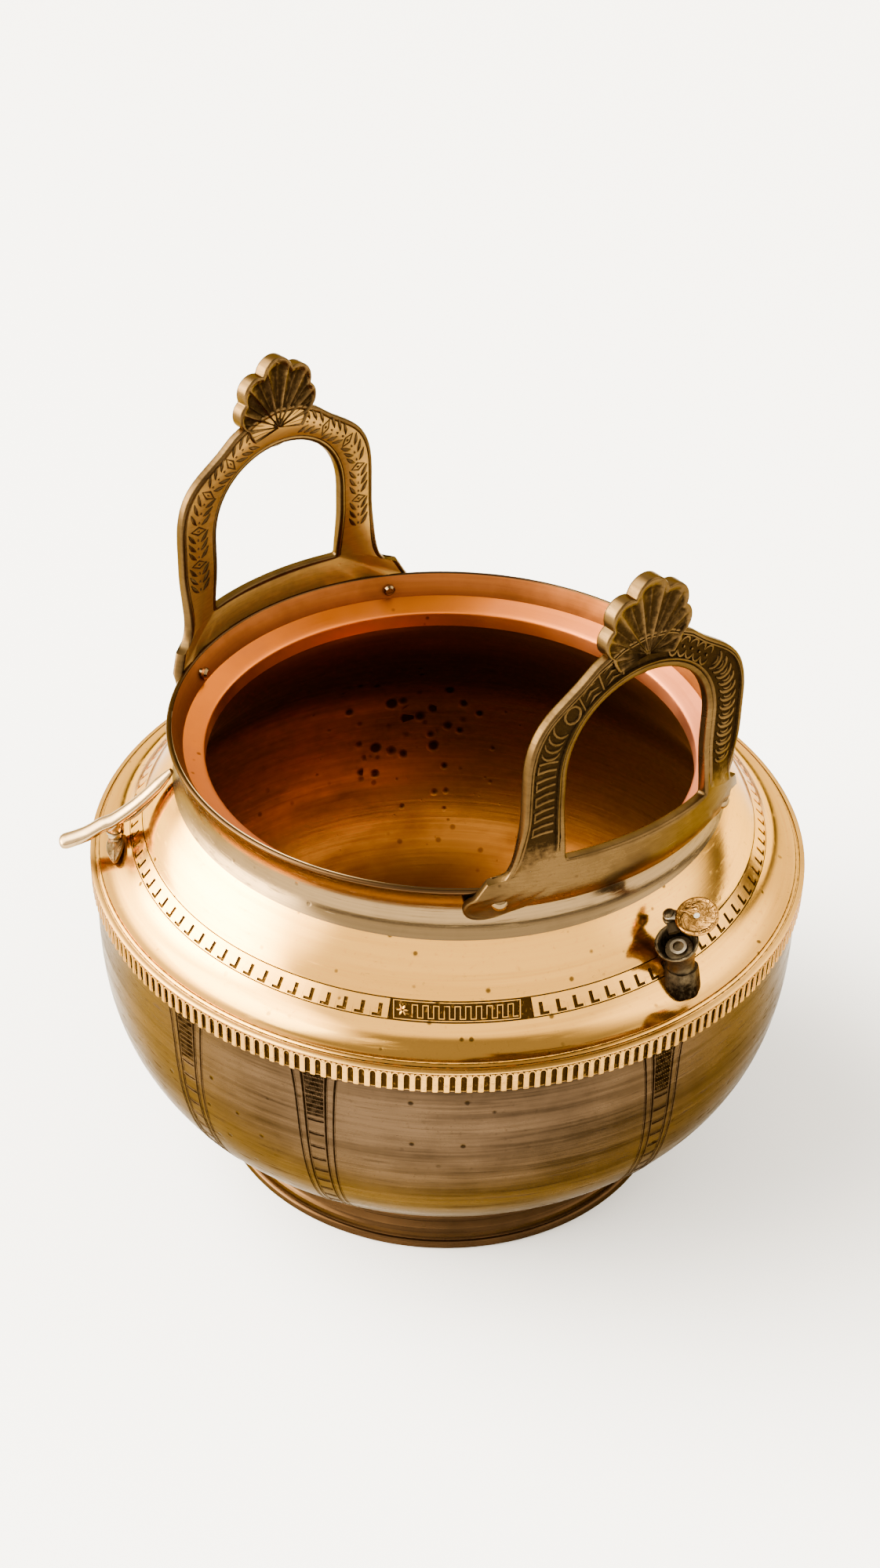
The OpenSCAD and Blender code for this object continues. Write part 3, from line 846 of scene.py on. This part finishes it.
def handle_section(near, far, carved):
    """One cut across the handle: rounded edges, a border line and a sunk face at the front."""
    way = (far - near).normalized()
    width = (far - near).length
    edge = [(offset, rise, 1) for offset, rise in EDGE]
    front, rear = [edge + [(offset, rise * carved, 1 - (1 - relief) * carved)
                           for offset, rise, relief in border]
                   for border in (INNER_BORDER, OUTER_BORDER)]
    points = [(near + way * offset * MM, PLATE_HALF + rise * MM, relief)
              for offset, rise, relief in front]
    for part in (0.3, 0.5, 0.7):
        points.append((near.lerp(far, part), PLATE_HALF - FACE_SUNK * carved * MM, 1 - carved))
    points += [(near + way * (width - offset * MM), PLATE_HALF + rise * MM, relief)
               for offset, rise, relief in reversed(rear)]
    back = edge + list(BACK_LINE)
    points += [(near + way * (width - offset * MM), -PLATE_HALF - rise * MM, relief)
               for offset, rise, relief in back]
    # The middle of the back face gets relief 1.8, the full painted highlight.
    points.append((near.lerp(far, 0.5), -PLATE_HALF, 1.8))
    points += [(near + way * offset * MM, -PLATE_HALF - rise * MM, relief)
               for offset, rise, relief in reversed(back)]
    return points


def rail_radius(height):
    """Middle of the rail's wall, which hugs the neck and clears the rim's wire."""
    knots = [mm(98.9, 163), mm(99.6, 170), mm(101.2, 175), mm(103.05, 177.5), mm(103.05, 300)]
    for low, high in zip(knots, knots[1:]):
        if height <= high.y:
            return low.x + (high.x - low.x) * max(0.0, (height - low.y)) / (high.y - low.y)
    return knots[-1].x


BEND_START, BEND_DEPTH = 212 * MM, 24 * MM


def bent(across, height, proud):
    """A flat casting bent round the neck: flat above the legs, curved with the rail below."""
    part = min(1.0, max(0.0, (BEND_START - height) / BEND_DEPTH))
    blend = part * part * (3 - 2 * part)
    curved = math.sqrt(max(rail_radius(height) ** 2 - across**2, 0.0))
    tilt = across / rail_radius(height) * blend
    middle = PLATE_D * (1 - blend) + curved * blend
    return Vector((middle + proud * math.cos(tilt), across + proud * math.sin(tilt), height))


def mirrored(point):
    return Vector((-point.x, point.y))


def handle_body():
    half = half_handle()
    left = [(mirrored(near), mirrored(far), fade) for near, far, fade in half[-2:0:-1]]
    rows = [[(bent(point.x, point.y, proud), relief)
             for point, proud, relief in handle_section(near, far, fade)]
            for near, far, fade in half + left]
    return loft("handle_body", rows)


SHELL_FOOT = mm(0, 256.5)
SHELL_LOBES = [(mm(0, 277.0), 6.8), (mm(9.0, 272.4), 6.4), (mm(-9.0, 272.4), 6.4),
               (mm(11.6, 264.8), 6.0), (mm(-11.6, 264.8), 6.0), (mm(0, 263.5), 15.0)]
FLUTES = 9
SHELL_STEPS = 300
SHELL_RISE = 0.75
FAN_START, FAN_SPREAD = math.radians(-14), math.radians(208)


def shell_reach(angle):
    """How far the lobed outline is from the foot of the fan in one direction."""
    way = polar(1, angle)
    reach = 3.0 * MM
    for centre, radius in SHELL_LOBES:
        gap = centre - SHELL_FOOT
        along = gap.dot(way)
        inside = (radius * MM) ** 2 - gap.length_squared + along * along
        if inside >= 0:
            reach = max(reach, along + math.sqrt(inside))
    return reach


def shell_crest():
    """A fan of thin ribs and hollow flutes inside a slim lobed border, the same on both faces."""
    rows = []
    for step in range(SHELL_STEPS):
        angle = FAN_START + math.tau * step / SHELL_STEPS
        swing = (angle - FAN_START) / FAN_SPREAD
        fan = swing <= 1
        reach = shell_reach(angle)
        phase = (FLUTES * swing) % 1.0
        flute = 1 - abs(2 * phase - 1) ** 4 if fan else 0.0
        half_way = 1 - min(1.0, abs(phase - 0.5) / 0.07) if fan else 0.0
        front = []
        for part in (0.05, 0.12, 0.2, 0.3, 0.42, 0.54, 0.66, 0.78, 0.88, 0.915):
            window = min(1.0, part / 0.16) * (1.0 if part < 0.9 else 0.15)
            drop = (0.95 * flute - (0.45 * half_way if part > 0.4 else 0)) * window
            if not fan:
                drop = 1.1 + 0.5 * part
            front.append((part * reach, PLATE_HALF + (SHELL_RISE - drop) * MM,
                          1 - 0.95 * min(1.0, max(0, drop))))
        if fan:
            border = ((0.9, SHELL_RISE, 1), (0.4, SHELL_RISE, 1), (0.05, 0.4, 1), (0, -0.1, 1))
        else:
            border = ((0.04, -1.0, 0.5), (0.03, -1.1, 0.5), (0.02, -1.2, 0.5), (0.01, -1.3, 0.5))
        front += [(reach - back * MM, PLATE_HALF + rise * MM, relief) for back, rise, relief in border]
        row = [(SHELL_FOOT + polar(out, angle), proud, relief) for out, proud, relief in front]
        row += [(point, -proud, relief) for point, proud, relief in reversed(row)]
        rows.append([(bent(point.x, point.y, proud), relief) for point, proud, relief in row])
    crest = loft("shell_crest", rows, close_columns=False)
    only(crest)
    bpy.ops.object.mode_set(mode="EDIT")
    bpy.ops.mesh.select_all(action="DESELECT")
    bpy.ops.mesh.select_non_manifold()
    bpy.ops.mesh.fill_holes(sides=0)
    bpy.ops.mesh.select_all(action="SELECT")
    bpy.ops.mesh.normals_make_consistent(inside=False)
    bpy.ops.object.mode_set(mode="OBJECT")
    return crest


class Track:
    """The middle line of the carved face, walked from the foot of one leg over the arch."""

    def __init__(self):
        right = [(near, far) for near, far, _ in half_handle()[:CARVED_ROWS]]
        left = [(mirrored(near), mirrored(far)) for near, far in right[:0:-1]]
        self.middles = [0.5 * (near + far) for near, far in left + right]

    def at(self, walked):
        """The middle point, the direction along and the direction across, walked mm from a foot."""
        middles = self.middles if walked >= 0 else self.middles[::-1]
        index, left = walk(middles, abs(walked) * MM)
        along = (middles[index + 1] - middles[index]).normalized()
        across = Vector((-along.y, along.x)) if walked >= 0 else Vector((along.y, -along.x))
        return middles[index] + along * left, along, across

    def line(self, walked, points, widths, closed=False):
        """A line given in mm along and across the track at a point on it."""
        origin, along, across = self.at(walked)
        drawn = [origin + along * x * MM + across * (SCULPTED_SHIFT + 1.35 * y) * MM for x, y in points]
        if isinstance(widths, (int, float)):
            widths = even(widths, len(points))
        return (drawn, widths, closed)


def arc(radius, start, end, steps=7, stretch=1.0):
    """Part of a circle between two angles in degrees, stretched along the track if asked."""
    angles = [math.radians(start + (end - start) * k / steps) for k in range(steps + 1)]
    return [(radius * stretch * math.cos(angle), radius * math.sin(angle)) for angle in angles]


def ring(radius, stretch=1.0, steps=12):
    return arc(radius, 0, 360 - 360 / steps, steps - 1, stretch)


def swell(steps, width):
    """Widths that grow from a point to the middle and back."""
    return [width * (0.35 + 0.65 * math.sin(math.pi * k / steps)) for k in range(steps + 1)]


def outer_ornament(track):
    """A ladder, scales, a ring and barred bows up one leg; crescents and paired arcs up the other."""
    lines = []
    for walked in range(3, 33, 3):
        lines.append(track.line(walked, [(0, -2.9), (0.3, 0), (0, 2.9)], 0.55))
        if walked % 2:
            lines.append(track.line(walked, [(0.2, 2.6), (2.6, 2.6)], 0.4))
    for walked in (34, 36.6, 39.2, 41.8):
        lines.append(track.line(walked, arc(2.9, 100, 260), swell(7, 0.65)))
    lines.append(track.line(47, ring(2.5, 1.2), 0.6, True))
    lines.append(track.line(51.5, [(-0.6, -3), (0.6, 3)], 0.45))
    for walked in (56, 65):
        for height, bow in ((-1.9, 0.5), (0.1, 0.6), (2.1, 0.5)):
            lines.append(track.line(walked, [(-3, height - bow), (0, height + bow), (3, height - bow)],
                                    (0.25, 0.6, 0.25)))
        lines.append(track.line(walked + 4.4, [(-0.8, -3), (0.8, 3)], 0.45))
    for step in range(13):
        walked = -(3.0 + 3.5 * step)
        lines.append(track.line(walked, arc(2.5, 95, 265), swell(7, 0.8)))
        lines.append(track.line(walked, arc(1.3, 100, 260), swell(7, 0.5)))
    for step in range(5):
        walked = -(50.0 + 4.1 * step)
        lines.append(track.line(walked, arc(2.6, 20, 160, stretch=0.8), swell(7, 0.6)))
        lines.append(track.line(walked, arc(2.6, 200, 340, stretch=0.8), swell(7, 0.6)))
        lines.append(track.line(walked, [(-0.3, 0), (0.3, 0)], 0.6))
    return lines


def inner_ornament(track):
    """Slanting leaves in pairs along a stem of seeds, with a lozenge after every third pair."""
    lines = []
    leaf = (0.15, 0.55, 0.8, 0.6, 0.15)
    for side in (1, -1):
        for step in range(19):
            walked = side * (4.0 + 3.4 * step)
            if step % 4 == 3:
                lozenge = [(1.5, 0), (0, 2.4), (-1.5, 0), (0, -2.4)]
                lines.append(track.line(walked, lozenge, 0.4, True))
                lines.append(track.line(walked, [(-0.25, 0), (0.25, 0)], 0.6))
                continue
            for tip in (1, -1):
                curve = [(-1.1 + 0.55 * k + 0.12 * k * k, tip * (0.8 + 0.62 * k)) for k in range(5)]
                lines.append(track.line(walked, curve, leaf))
            lines.append(track.line(walked, [(-0.5, 0), (0.3, 0)], (0.5, 0.3)))
    return lines


def handle():
    track = Track()
    front = placed(ridges("outer_ornament", outer_ornament(track)),
                   lambda x, y, proud: bent(x, y, PLATE_HALF - 0.65 * MM + 1.15 * proud))
    back = placed(ridges("inner_ornament", inner_ornament(track)),
                  lambda x, y, proud: bent(x, y, -PLATE_HALF - 0.9 * proud))
    flipped(back)
    whole = joined("handle", [handle_body(), shell_crest(), front, back])
    return settle(whole, 50)


# ---------------------------------------------------------------- spout, cap and arm

mouth_mount = next(mount for mount in frame["record"]["mounts"] if mount["name"] == "filler_bore")
MOUTH_AXIS = Vector(joints["cap_swing"]["axis"]).normalized()
PIVOT = Vector(joints["cap_swing"]["pos_m"])
BORE_DEPTH = 6.7 * MM
MOUTH = Vector(mouth_mount["pos_m"]) + BORE_DEPTH * MOUTH_AXIS


def frame_at(origin, axis, towards):
    """A matrix with Z along the axis and X as near as can be towards a point."""
    z = axis.normalized()
    x = (towards - origin) - (towards - origin).dot(z) * z
    x.normalize()
    y = z.cross(x)
    matrix = Matrix((x, y, z)).transposed().to_4x4()
    matrix.translation = origin
    return matrix


at_mouth = frame_at(MOUTH, MOUTH_AXIS, PIVOT)
at_pivot = frame_at(PIVOT, MOUTH_AXIS, MOUTH)
CAP_CENTRE = 0.5 * (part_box("cap_disc")[0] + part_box("cap_disc")[1])
CAP_ARM = (CAP_CENTRE - PIVOT - (CAP_CENTRE - PIVOT).dot(MOUTH_AXIS) * MOUTH_AXIS).length
at_cap = frame_at(PIVOT, MOUTH_AXIS, CAP_CENTRE)
SPOUT_OUT = Vector((math.cos(SPOUT_AZ), math.sin(SPOUT_AZ), 0))
SPOUT_FOOT = 118.1 * MM * SPOUT_OUT
PIPE_R = 4.75


def sheath(name, stations, sides=40):
    """A closed tube of rings, each given by a centre, two half axes and a relief."""
    turns = [math.tau * side / sides for side in range(sides)]
    rows = [[(centre + math.cos(turn) * wide + math.sin(turn) * deep, relief) for turn in turns]
            for centre, wide, deep, relief in stations]
    return loft(name, rows, close_rows=False)


def small_turned(name, section, matrix, sides=48, wobble=None):
    """A small turned part on its own axis, closed from its last ring back to its first."""
    rows = []
    for step in range(sides):
        angle = math.tau * step / sides
        row = []
        for radius, height, relief in section:
            shift = wobble(angle, radius, height) if wobble else 0.0
            row.append((matrix @ Vector((radius * math.cos(angle) * MM, radius * math.sin(angle) * MM,
                                         (height + shift) * MM)), relief))
        rows.append(row)
    return loft(name, rows)


def spout_pipe():
    """The pipe of the spout, drawn out from its dark solder skirt and bent to the mouth."""
    bend = SPOUT_FOOT + mm(0, 0, 143)
    start = SPOUT_FOOT + mm(0, 0, 127)
    end = MOUTH - 4.6 * MM * MOUTH_AXIS
    route = bezier(start, start.lerp(bend, 0.95), bend.lerp(end, 0.25), end, 26)
    stations = []
    for index, centre in enumerate(route):
        way = heading(route, index)
        wide = SPOUT_OUT.cross(way).normalized()
        deep = way.cross(wide)
        part = index / (len(route) - 1)
        swell_low, swell_high = max(0.0, 1 - part / 0.5) ** 1.5, max(0.0, part - 0.5) / 0.5
        radius = (PIPE_R + 1.5 * swell_low + 0.9 * swell_high) * MM
        stations.append((centre, wide * radius, deep * radius * 0.96, 0.75))
    return sheath("spout_pipe", stations)


def solder_skirt():
    """An uneven cone of solder between the pipe and the shoulder."""
    sides = 48
    section = ((129.0, 7.1, 0.1), (131.5, 6.8, 0.15), (133.6, 6.5, 0.2), (135.6, 6.2, 0.4),
               (137.8, 5.9, 0.6), (139.4, 5.5, 0.7))
    stations = [(SPOUT_FOOT + mm(0, 0, height), mm(radius, 0, 0), mm(0, radius, 0), relief)
                for height, radius, relief in section]
    skirt = sheath("solder_skirt", stations, sides)
    for index, vertex in enumerate(skirt.data.vertices):
        angle = math.tau * (index % sides) / sides
        uneven = 1 + 0.05 * math.sin(3 * angle + 1) + 0.03 * math.sin(7 * angle)
        centre = SPOUT_FOOT + Vector((0, 0, vertex.co.z))
        vertex.co = centre + (vertex.co - centre) * uneven
    return skirt


def funnel():
    """The flared mouth with its beaten, wavy lip and the lug for the cap's stud."""
    section = [(4.4, -7.2, 0.6), (5.2, -6.9, 0.7), (5.7, -4.6, 0.7), (6.2, -2.8, 0.8), (6.9, -1.5, 0.9),
               (7.4, -0.9, 1), (7.5, -0.4, 1), (7.3, -0.05, 1), (6.8, 0.0, 1), (6.4, -0.35, 0.9),
               (5.9, -1.5, 0.35), (5.2, -3.2, 0.15), (4.5, -4.8, 0.0), (4.3, -6.0, 0.0)]

    def beaten(angle, radius, height):
        if height < -1.6:
            return 0.0
        return -0.16 + 0.14 * math.sin(5 * angle + 0.6) * math.sin(9 * angle)

    cone = small_turned("funnel", section, at_mouth, 72, beaten)
    lug_line = [(1.5, -2.3, 0.5), (2.4, -2.4, 0.6), (2.6, -2.1, 0.8), (2.6, -1.1, 0.9), (2.4, -0.85, 1),
                (1.5, -0.8, 1)]
    lug = small_turned("lug", lug_line, at_pivot, 36)
    bridge = [(2.0, 1.7), (4.0, 1.9), (6.0, 1.9)]
    rows = []
    for x, half in bridge:
        left = [(-half, -2.3), (-half, -0.95), (-half + 0.3, -0.8)]
        right = [(-y, z) for y, z in reversed(left)]
        rows.append([(at_pivot @ mm(x, y, z), 0.8) for y, z in left + right])
    return joined("funnel", [cone, lug, loft("lug_bridge", rows, close_rows=False)])


def knurled_stud():
    """The cap's stud: a knurled collar, a spigot and a riveted head."""
    rows = []
    sides, knurl_depth, collar_r = 60, 0.14, 1.95
    section = [(0.05, -2.9), (1.35, -2.9), (1.45, -2.7), (1.45, -0.8), (1.9, -0.75), (2.1, -0.6),
               (2.1, 0.1), (1.9, 0.28), (1.22, 0.3), (1.2, 1.3), (1.55, 1.32), (1.5, 1.6), (1.15, 1.9),
               (0.6, 2.02), (0.05, 2.05)]
    for step in range(sides):
        angle = math.tau * step / sides
        row = []
        for radius, height in section:
            cut = step % 3 == 0 and radius > collar_r
            out = radius - knurl_depth if cut else radius
            row.append((at_pivot @ mm(out * math.cos(angle), out * math.sin(angle), height),
                        0.1 if cut else 0.75))
        rows.append(row)
    return loft("knurled_stud", rows)


def cap_strap():
    """The strip that carries the cap: two eyes and a waisted neck, with eased edges."""
    low, high, waist = 0.37, 1.22, 1.5
    swing = CAP_ARM / MM
    pivot_eye = [polar(2.2, math.radians(angle)) for angle in range(60, 301, 15)]
    cap_eye = [polar(2.6, math.radians(angle)) + Vector((swing, 0)) for angle in range(-120, 121, 15)]
    outline = pivot_eye + [Vector((0.5 * swing, -waist))] + cap_eye + [Vector((0.5 * swing, waist))]
    bpy.ops.mesh.primitive_circle_add(vertices=len(outline), radius=MM, fill_type="NGON")
    strap = bpy.context.object
    for vertex, point in zip(strap.data.vertices, outline):
        vertex.co = mm(point.x, point.y, low)
    bpy.ops.object.mode_set(mode="EDIT")
    bpy.ops.mesh.select_all(action="SELECT")
    bpy.ops.mesh.extrude_region_move(TRANSFORM_OT_translate={"value": (0, 0, (high - low) * MM)})
    bpy.ops.mesh.select_all(action="SELECT")
    bpy.ops.mesh.normals_make_consistent(inside=False)
    bpy.ops.object.mode_set(mode="OBJECT")
    bevel = strap.modifiers.new("eased", "BEVEL")
    bevel.width = 0.15 * MM
    bevel.segments = 2
    only(strap)
    bpy.ops.object.modifier_apply(modifier=bevel.name)
    mark_relief(strap, [1.0] * len(strap.data.vertices))
    strap.data.transform(at_cap)
    return settle(strap)


def cap_disc():
    """A round cap with a rolled edge and a planished, slightly uneven face."""
    centre = at_cap @ Matrix.Translation((CAP_ARM, 0, 0))
    section = [(1.05, 1.28, 1), (4.0, 1.28, 1), (7.0, 1.3, 1), (7.3, 1.5, 1), (7.38, 1.9, 1),
               (7.3, 2.35, 1), (6.95, 2.72, 1), (6.6, 2.8, 1), (6.3, 2.62, 0.7), (5.6, 2.6, 1),
               (4.4, 2.68, 1), (3.2, 2.72, 1), (2.3, 2.7, 1), (1.05, 2.66, 1)]

    def planished(angle, radius, height):
        if height < 2.4:
            return 0.0
        return 0.05 * math.sin(3 * angle + radius) * math.sin(1.9 * radius + 2 * angle)

    return small_turned("cap_face", section, centre, 72, planished)


ARM_PIVOT = Vector(joints["arm_swivel"]["pos_m"])
ARM_AZ = math.atan2(ARM_PIVOT.y, ARM_PIVOT.x)
arm_place = Matrix.Translation((ARM_PIVOT.x, ARM_PIVOT.y, 0)) @ about_axis(ARM_AZ)


def smooth_route(knots, steps):
    """A smooth line through the knots, with the given number of points between each pair."""
    points = []
    for index in range(len(knots) - 1):
        before = knots[max(index - 1, 0)]
        start, end = knots[index], knots[index + 1]
        after = knots[min(index + 2, len(knots) - 1)]
        pull_start = start + (end - before) / 6
        pull_end = end - (after - start) / 6
        points += bezier(start, pull_start, pull_end, end, steps)[:-1]
    return points + [knots[-1]]


def shoulder_arm():
    """A forged bar, thick and round at its free end, with a fine strand under its root and a
    boss for the pin."""
    knots = [mm(-21.4, 0, 161.4), mm(-15, 0, 154.2), mm(-8, 0, 147.4), mm(0, 0, 141.2),
             mm(4.5, 0, 139.2), mm(10.5, 0, 135.6), mm(17, 0, 133.2), mm(20.3, 0, 132.6)]
    route = smooth_route(knots, 12)
    side = Vector((0, 1, 0))
    rounding, rounding_length = 0.86, 0.142
    stations = []
    for index, centre in enumerate(route):
        up = heading(route, index).cross(side)
        part = index / (len(route) - 1)
        rounded = math.sqrt(max(0.0, 1 - (max(0.0, part - rounding) / rounding_length) ** 2))
        root = min(1.0, 0.45 + 5 * part)
        wide = (3.0 + 0.8 * part) * rounded * root
        thick = (2.1 + 0.4 * part) * rounded * root
        stations.append((centre, side * wide * MM, up * thick * MM, 1.0))
    bar = sheath("bar", stations, 24)
    strand_knots = [mm(-17.5, 0.6, 154.6), mm(-12.5, 1.6, 148.9), mm(-7.5, 2.0, 144.0),
                    mm(-3.2, 1.8, 141.6)]
    strand = [(centre, mm(0, 0.62, 0), mm(0.45, 0, 0.45), 0.5)
              for centre in smooth_route(strand_knots, 6)]
    wire = sheath("strand", strand, 12)
    boss_line = [(1.32, 136.95, 1), (3.0, 136.95, 1), (3.25, 137.2, 1), (3.25, 141.2, 1),
                 (3.0, 141.5, 1), (1.32, 141.5, 1)]
    boss = small_turned("boss", boss_line, Matrix.Identity(4), 36)
    arm = joined("arm_bar", [bar, wire, boss])
    arm.data.transform(arm_place)
    return arm


LEAF_SECTION = ((-1, 0.2), (-0.96, 1.1), (-0.8, 1.35), (-0.3, 1.3), (0, 1.75), (0.3, 1.3),
                (0.8, 1.35), (0.96, 1.1), (1, 0.2))


def arm_saddle():
    """A leaf-shaped plate with a raised midrib, lying on the shoulder under the bar."""
    rows = []
    steps = 24
    tilt = Matrix.Translation((0, 0, 131.6 * MM)) @ Matrix.Rotation(math.radians(28), 4, "Y")
    for step in range(steps + 1):
        part = step / steps
        along = -4.6 + 18.0 * part
        half = 4.5 * math.sin(math.pi * min(1.0, 0.04 + part * 0.93)) ** 0.6 * (1 - 0.42 * part)
        row = []
        for across, height in LEAF_SECTION:
            relief = 0.9 if height > 1.3 else 0.45
            row.append((arm_place @ tilt @ mm(across * half, along, height), relief))
        rows.append(row)
    return loft("saddle_leaf", rows, close_rows=False)


def arm_post():
    """The stud that the arm turns on, with a worn groove under its head."""
    section = [(1.2, 128.5, 0.3), (2.8, 128.5, 0.3), (2.8, 133.4, 0.5), (2.5, 133.7, 0.4),
               (2.5, 134.1, 0.4), (2.8, 134.4, 0.9), (2.8, 135.8, 1), (2.6, 136.08, 1),
               (1.2, 136.08, 1)]
    return small_turned("arm_stud", section, arm_place, 40)


# ---------------------------------------------------------------- putting it together

def finished(piece, metal, body, nodes, angle=None):
    """Gives a piece its metal, the body it rides and the frame's nodes it replaces."""
    if angle:
        settle(piece, angle)
    piece.data.materials.clear()
    piece.data.materials.append(metal)
    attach(piece, body)
    if nodes:
        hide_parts(*nodes)


finished(lower_bowl(), satin, "pot", ["lower_bowl"])
finished(belly_straps(), satin, "pot", [])
finished(shoulder_shell(), polished, "pot", ["shoulder_shell"])
finished(tick_band(), polished, "pot", [])
finished(gadroon_band(), band_metal, "pot", ["gadroon_band"])
finished(foot_ring(), foot_metal, "pot", ["foot_ring"])
neck = neck_collar()
finished(neck, neck_metal, "pot", ["neck_collar"])
line_inside(neck, throat_metal)
finished(rim_bead(), foot_metal, "pot", ["rim_bead"])
finished(copper_liner(), copper, "pot", ["copper_liner"])
finished(liner_lip(), lip_metal, "pot", ["liner_lip"])

one_handle = handle()
for node, azimuth in HANDLE_AZIMUTHS.items():
    casting = copied(one_handle, about_axis(azimuth))
    casting.name = node + "_casting"
    finished(casting, handle_metal, "pot", [node])
bpy.data.objects.remove(one_handle)

finished(spout_pipe(), bronze, "pot", ["spout_tube"], 50)
finished(solder_skirt(), bronze, "pot", ["spout_collar"], 50)
finished(funnel(), bronze, "pot", ["spout_funnel"], 50)
finished(knurled_stud(), bronze, "pot", ["cap_post"], 40)
finished(cap_strap(), nickel, "cap", ["cap_arm"])
finished(cap_disc(), cap_metal, "cap", ["cap_disc"], 50)
finished(shoulder_arm(), arm_metal, "arm", ["shoulder_arm"], 50)
finished(arm_saddle(), arm_metal, "pot", ["arm_saddle"], 50)
finished(arm_post(), arm_metal, "pot", ["arm_post"], 40)

# The nodes that the frame already gives in full only take a finish
PLAIN_NODES = ((neck_metal, ("front_rivets", "rear_rivets")),
               (throat_metal, ("front_rivet_washers", "rear_rivet_washers")),
               (nickel, ("spout_inner_tube", "arm_washer", "arm_pin", "cap_rivet")))
for metal, nodes in PLAIN_NODES:
    for node in nodes:
        frame["nodes"][node].data.materials.clear()
        frame["nodes"][node].data.materials.append(metal)


# ---------------------------------------------------------------- floor, light and camera

def studio_floor():
    bpy.ops.object.select_all(action="DESELECT")
    bpy.ops.mesh.primitive_plane_add(size=60, location=(0, 0, 0))
    floor = bpy.context.object
    floor.name = "studio_floor"
    material = bpy.data.materials.new("white_paper")
    material.use_nodes = True
    shader = material.node_tree.nodes["Principled BSDF"]
    shader.inputs["Base Color"].default_value = (0.93, 0.93, 0.925, 1)
    shader.inputs["Roughness"].default_value = 0.9
    floor.data.materials.append(material)


def softbox(name, place, aim, size, power, tint=(1, 1, 1)):
    data = bpy.data.lights.new(name, "AREA")
    data.shape = "RECTANGLE"
    data.size, data.size_y = size
    data.energy = power
    data.color = tint
    lamp = bpy.data.objects.new(name, data)
    bpy.context.collection.objects.link(lamp)
    lamp.location = place
    lamp.rotation_euler = (Vector(aim) - Vector(place)).to_track_quat("-Z", "Y").to_euler()


# Each glow: where it is, the cosines where it starts and is full, and its strength
GLOWS = (((-0.80, 0.05, 0.60), 0.72, 0.96, 20.0),
         ((-1.0, -0.05, 0.02), 0.78, 0.98, 45.0),
         ((0.80, 0.10, 0.60), 0.80, 0.97, 2.8),
         ((0, 0, 1), 0.60, 1.0, 0.5))
ROOM_LIGHT = 0.20
WORLD_TINT = (1.0, 0.92, 0.79, 1)
BAND_LIGHT = 3.2
BAND_RISE, BAND_FALL = (0.08, 0.24), (0.78, 0.92)


def sky():
    """A dim room with a soft band of light all round and four broad glows, the strongest at the
    left near the horizon."""
    world = bpy.data.worlds.new("studio")
    bpy.context.scene.world = world
    world.use_nodes = True
    nodes, links = world.node_tree.nodes, world.node_tree.links
    way = nodes.new("ShaderNodeTexCoord").outputs["Generated"]

    def ramp(value, low, high, start, end):
        node = nodes.new("ShaderNodeMapRange")
        node.interpolation_type = "SMOOTHSTEP"
        links.new(value, node.inputs["Value"])
        for key, setting in (("From Min", low), ("From Max", high), ("To Min", start), ("To Max", end)):
            node.inputs[key].default_value = setting
        return node.outputs["Result"]

    def combine(operation, first, second):
        node = nodes.new("ShaderNodeMath")
        node.operation = operation
        links.new(first, node.inputs[0])
        links.new(second, node.inputs[1])
        return node.outputs[0]

    parts = nodes.new("ShaderNodeSeparateXYZ")
    links.new(way, parts.inputs[0])
    height = parts.outputs[2]
    total = combine("MULTIPLY", ramp(height, *BAND_RISE, 0.0, BAND_LIGHT),
                    ramp(height, *BAND_FALL, 1.0, 0.0))
    for aim, low, high, power in GLOWS:
        facing = nodes.new("ShaderNodeVectorMath")
        facing.operation = "DOT_PRODUCT"
        links.new(way, facing.inputs[0])
        facing.inputs[1].default_value = Vector(aim).normalized()
        total = combine("ADD", total, ramp(facing.outputs["Value"], low, high, 0.0, power))
    plus = nodes.new("ShaderNodeMath")
    links.new(total, plus.inputs[0])
    plus.inputs[1].default_value = ROOM_LIGHT
    links.new(plus.outputs[0], nodes["Background"].inputs["Strength"])
    nodes["Background"].inputs["Color"].default_value = WORLD_TINT


ELEVATION, ROLL = math.radians(43.0498), math.radians(1.5811)
DISTANCE = 0.95034
AIM_RIGHT, AIM_UP = -0.0004, 0.1282
LENS, FILM_HEIGHT = 54, 36


def camera():
    """Looks down at the pot from the front, aimed a little above its foot."""
    back = Vector((0, -math.cos(ELEVATION), math.sin(ELEVATION)))
    level_up = Vector((0, math.sin(ELEVATION), math.cos(ELEVATION)))
    up = -math.sin(ROLL) * Vector((1, 0, 0)) + math.cos(ROLL) * level_up
    right = math.cos(ROLL) * Vector((1, 0, 0)) + math.sin(ROLL) * level_up
    view = (-back + AIM_RIGHT * right + AIM_UP * up).normalized()
    side = view.cross(up).normalized()
    over = side.cross(view)
    data = bpy.data.cameras.new("camera")
    data.lens = LENS
    data.sensor_fit = "VERTICAL"
    data.sensor_height = FILM_HEIGHT
    eye = bpy.data.objects.new("camera", data)
    bpy.context.collection.objects.link(eye)
    matrix = Matrix((side, over, -view)).transposed().to_4x4()
    matrix.translation = back * DISTANCE
    eye.matrix_world = matrix
    bpy.context.scene.camera = eye


studio_floor()
sky()
softbox("top", (-1.0, 0.1, 1.6), (0, 0, 0.1), (1.0, 1.0), 26, (0.80, 0.92, 1.0))
camera()
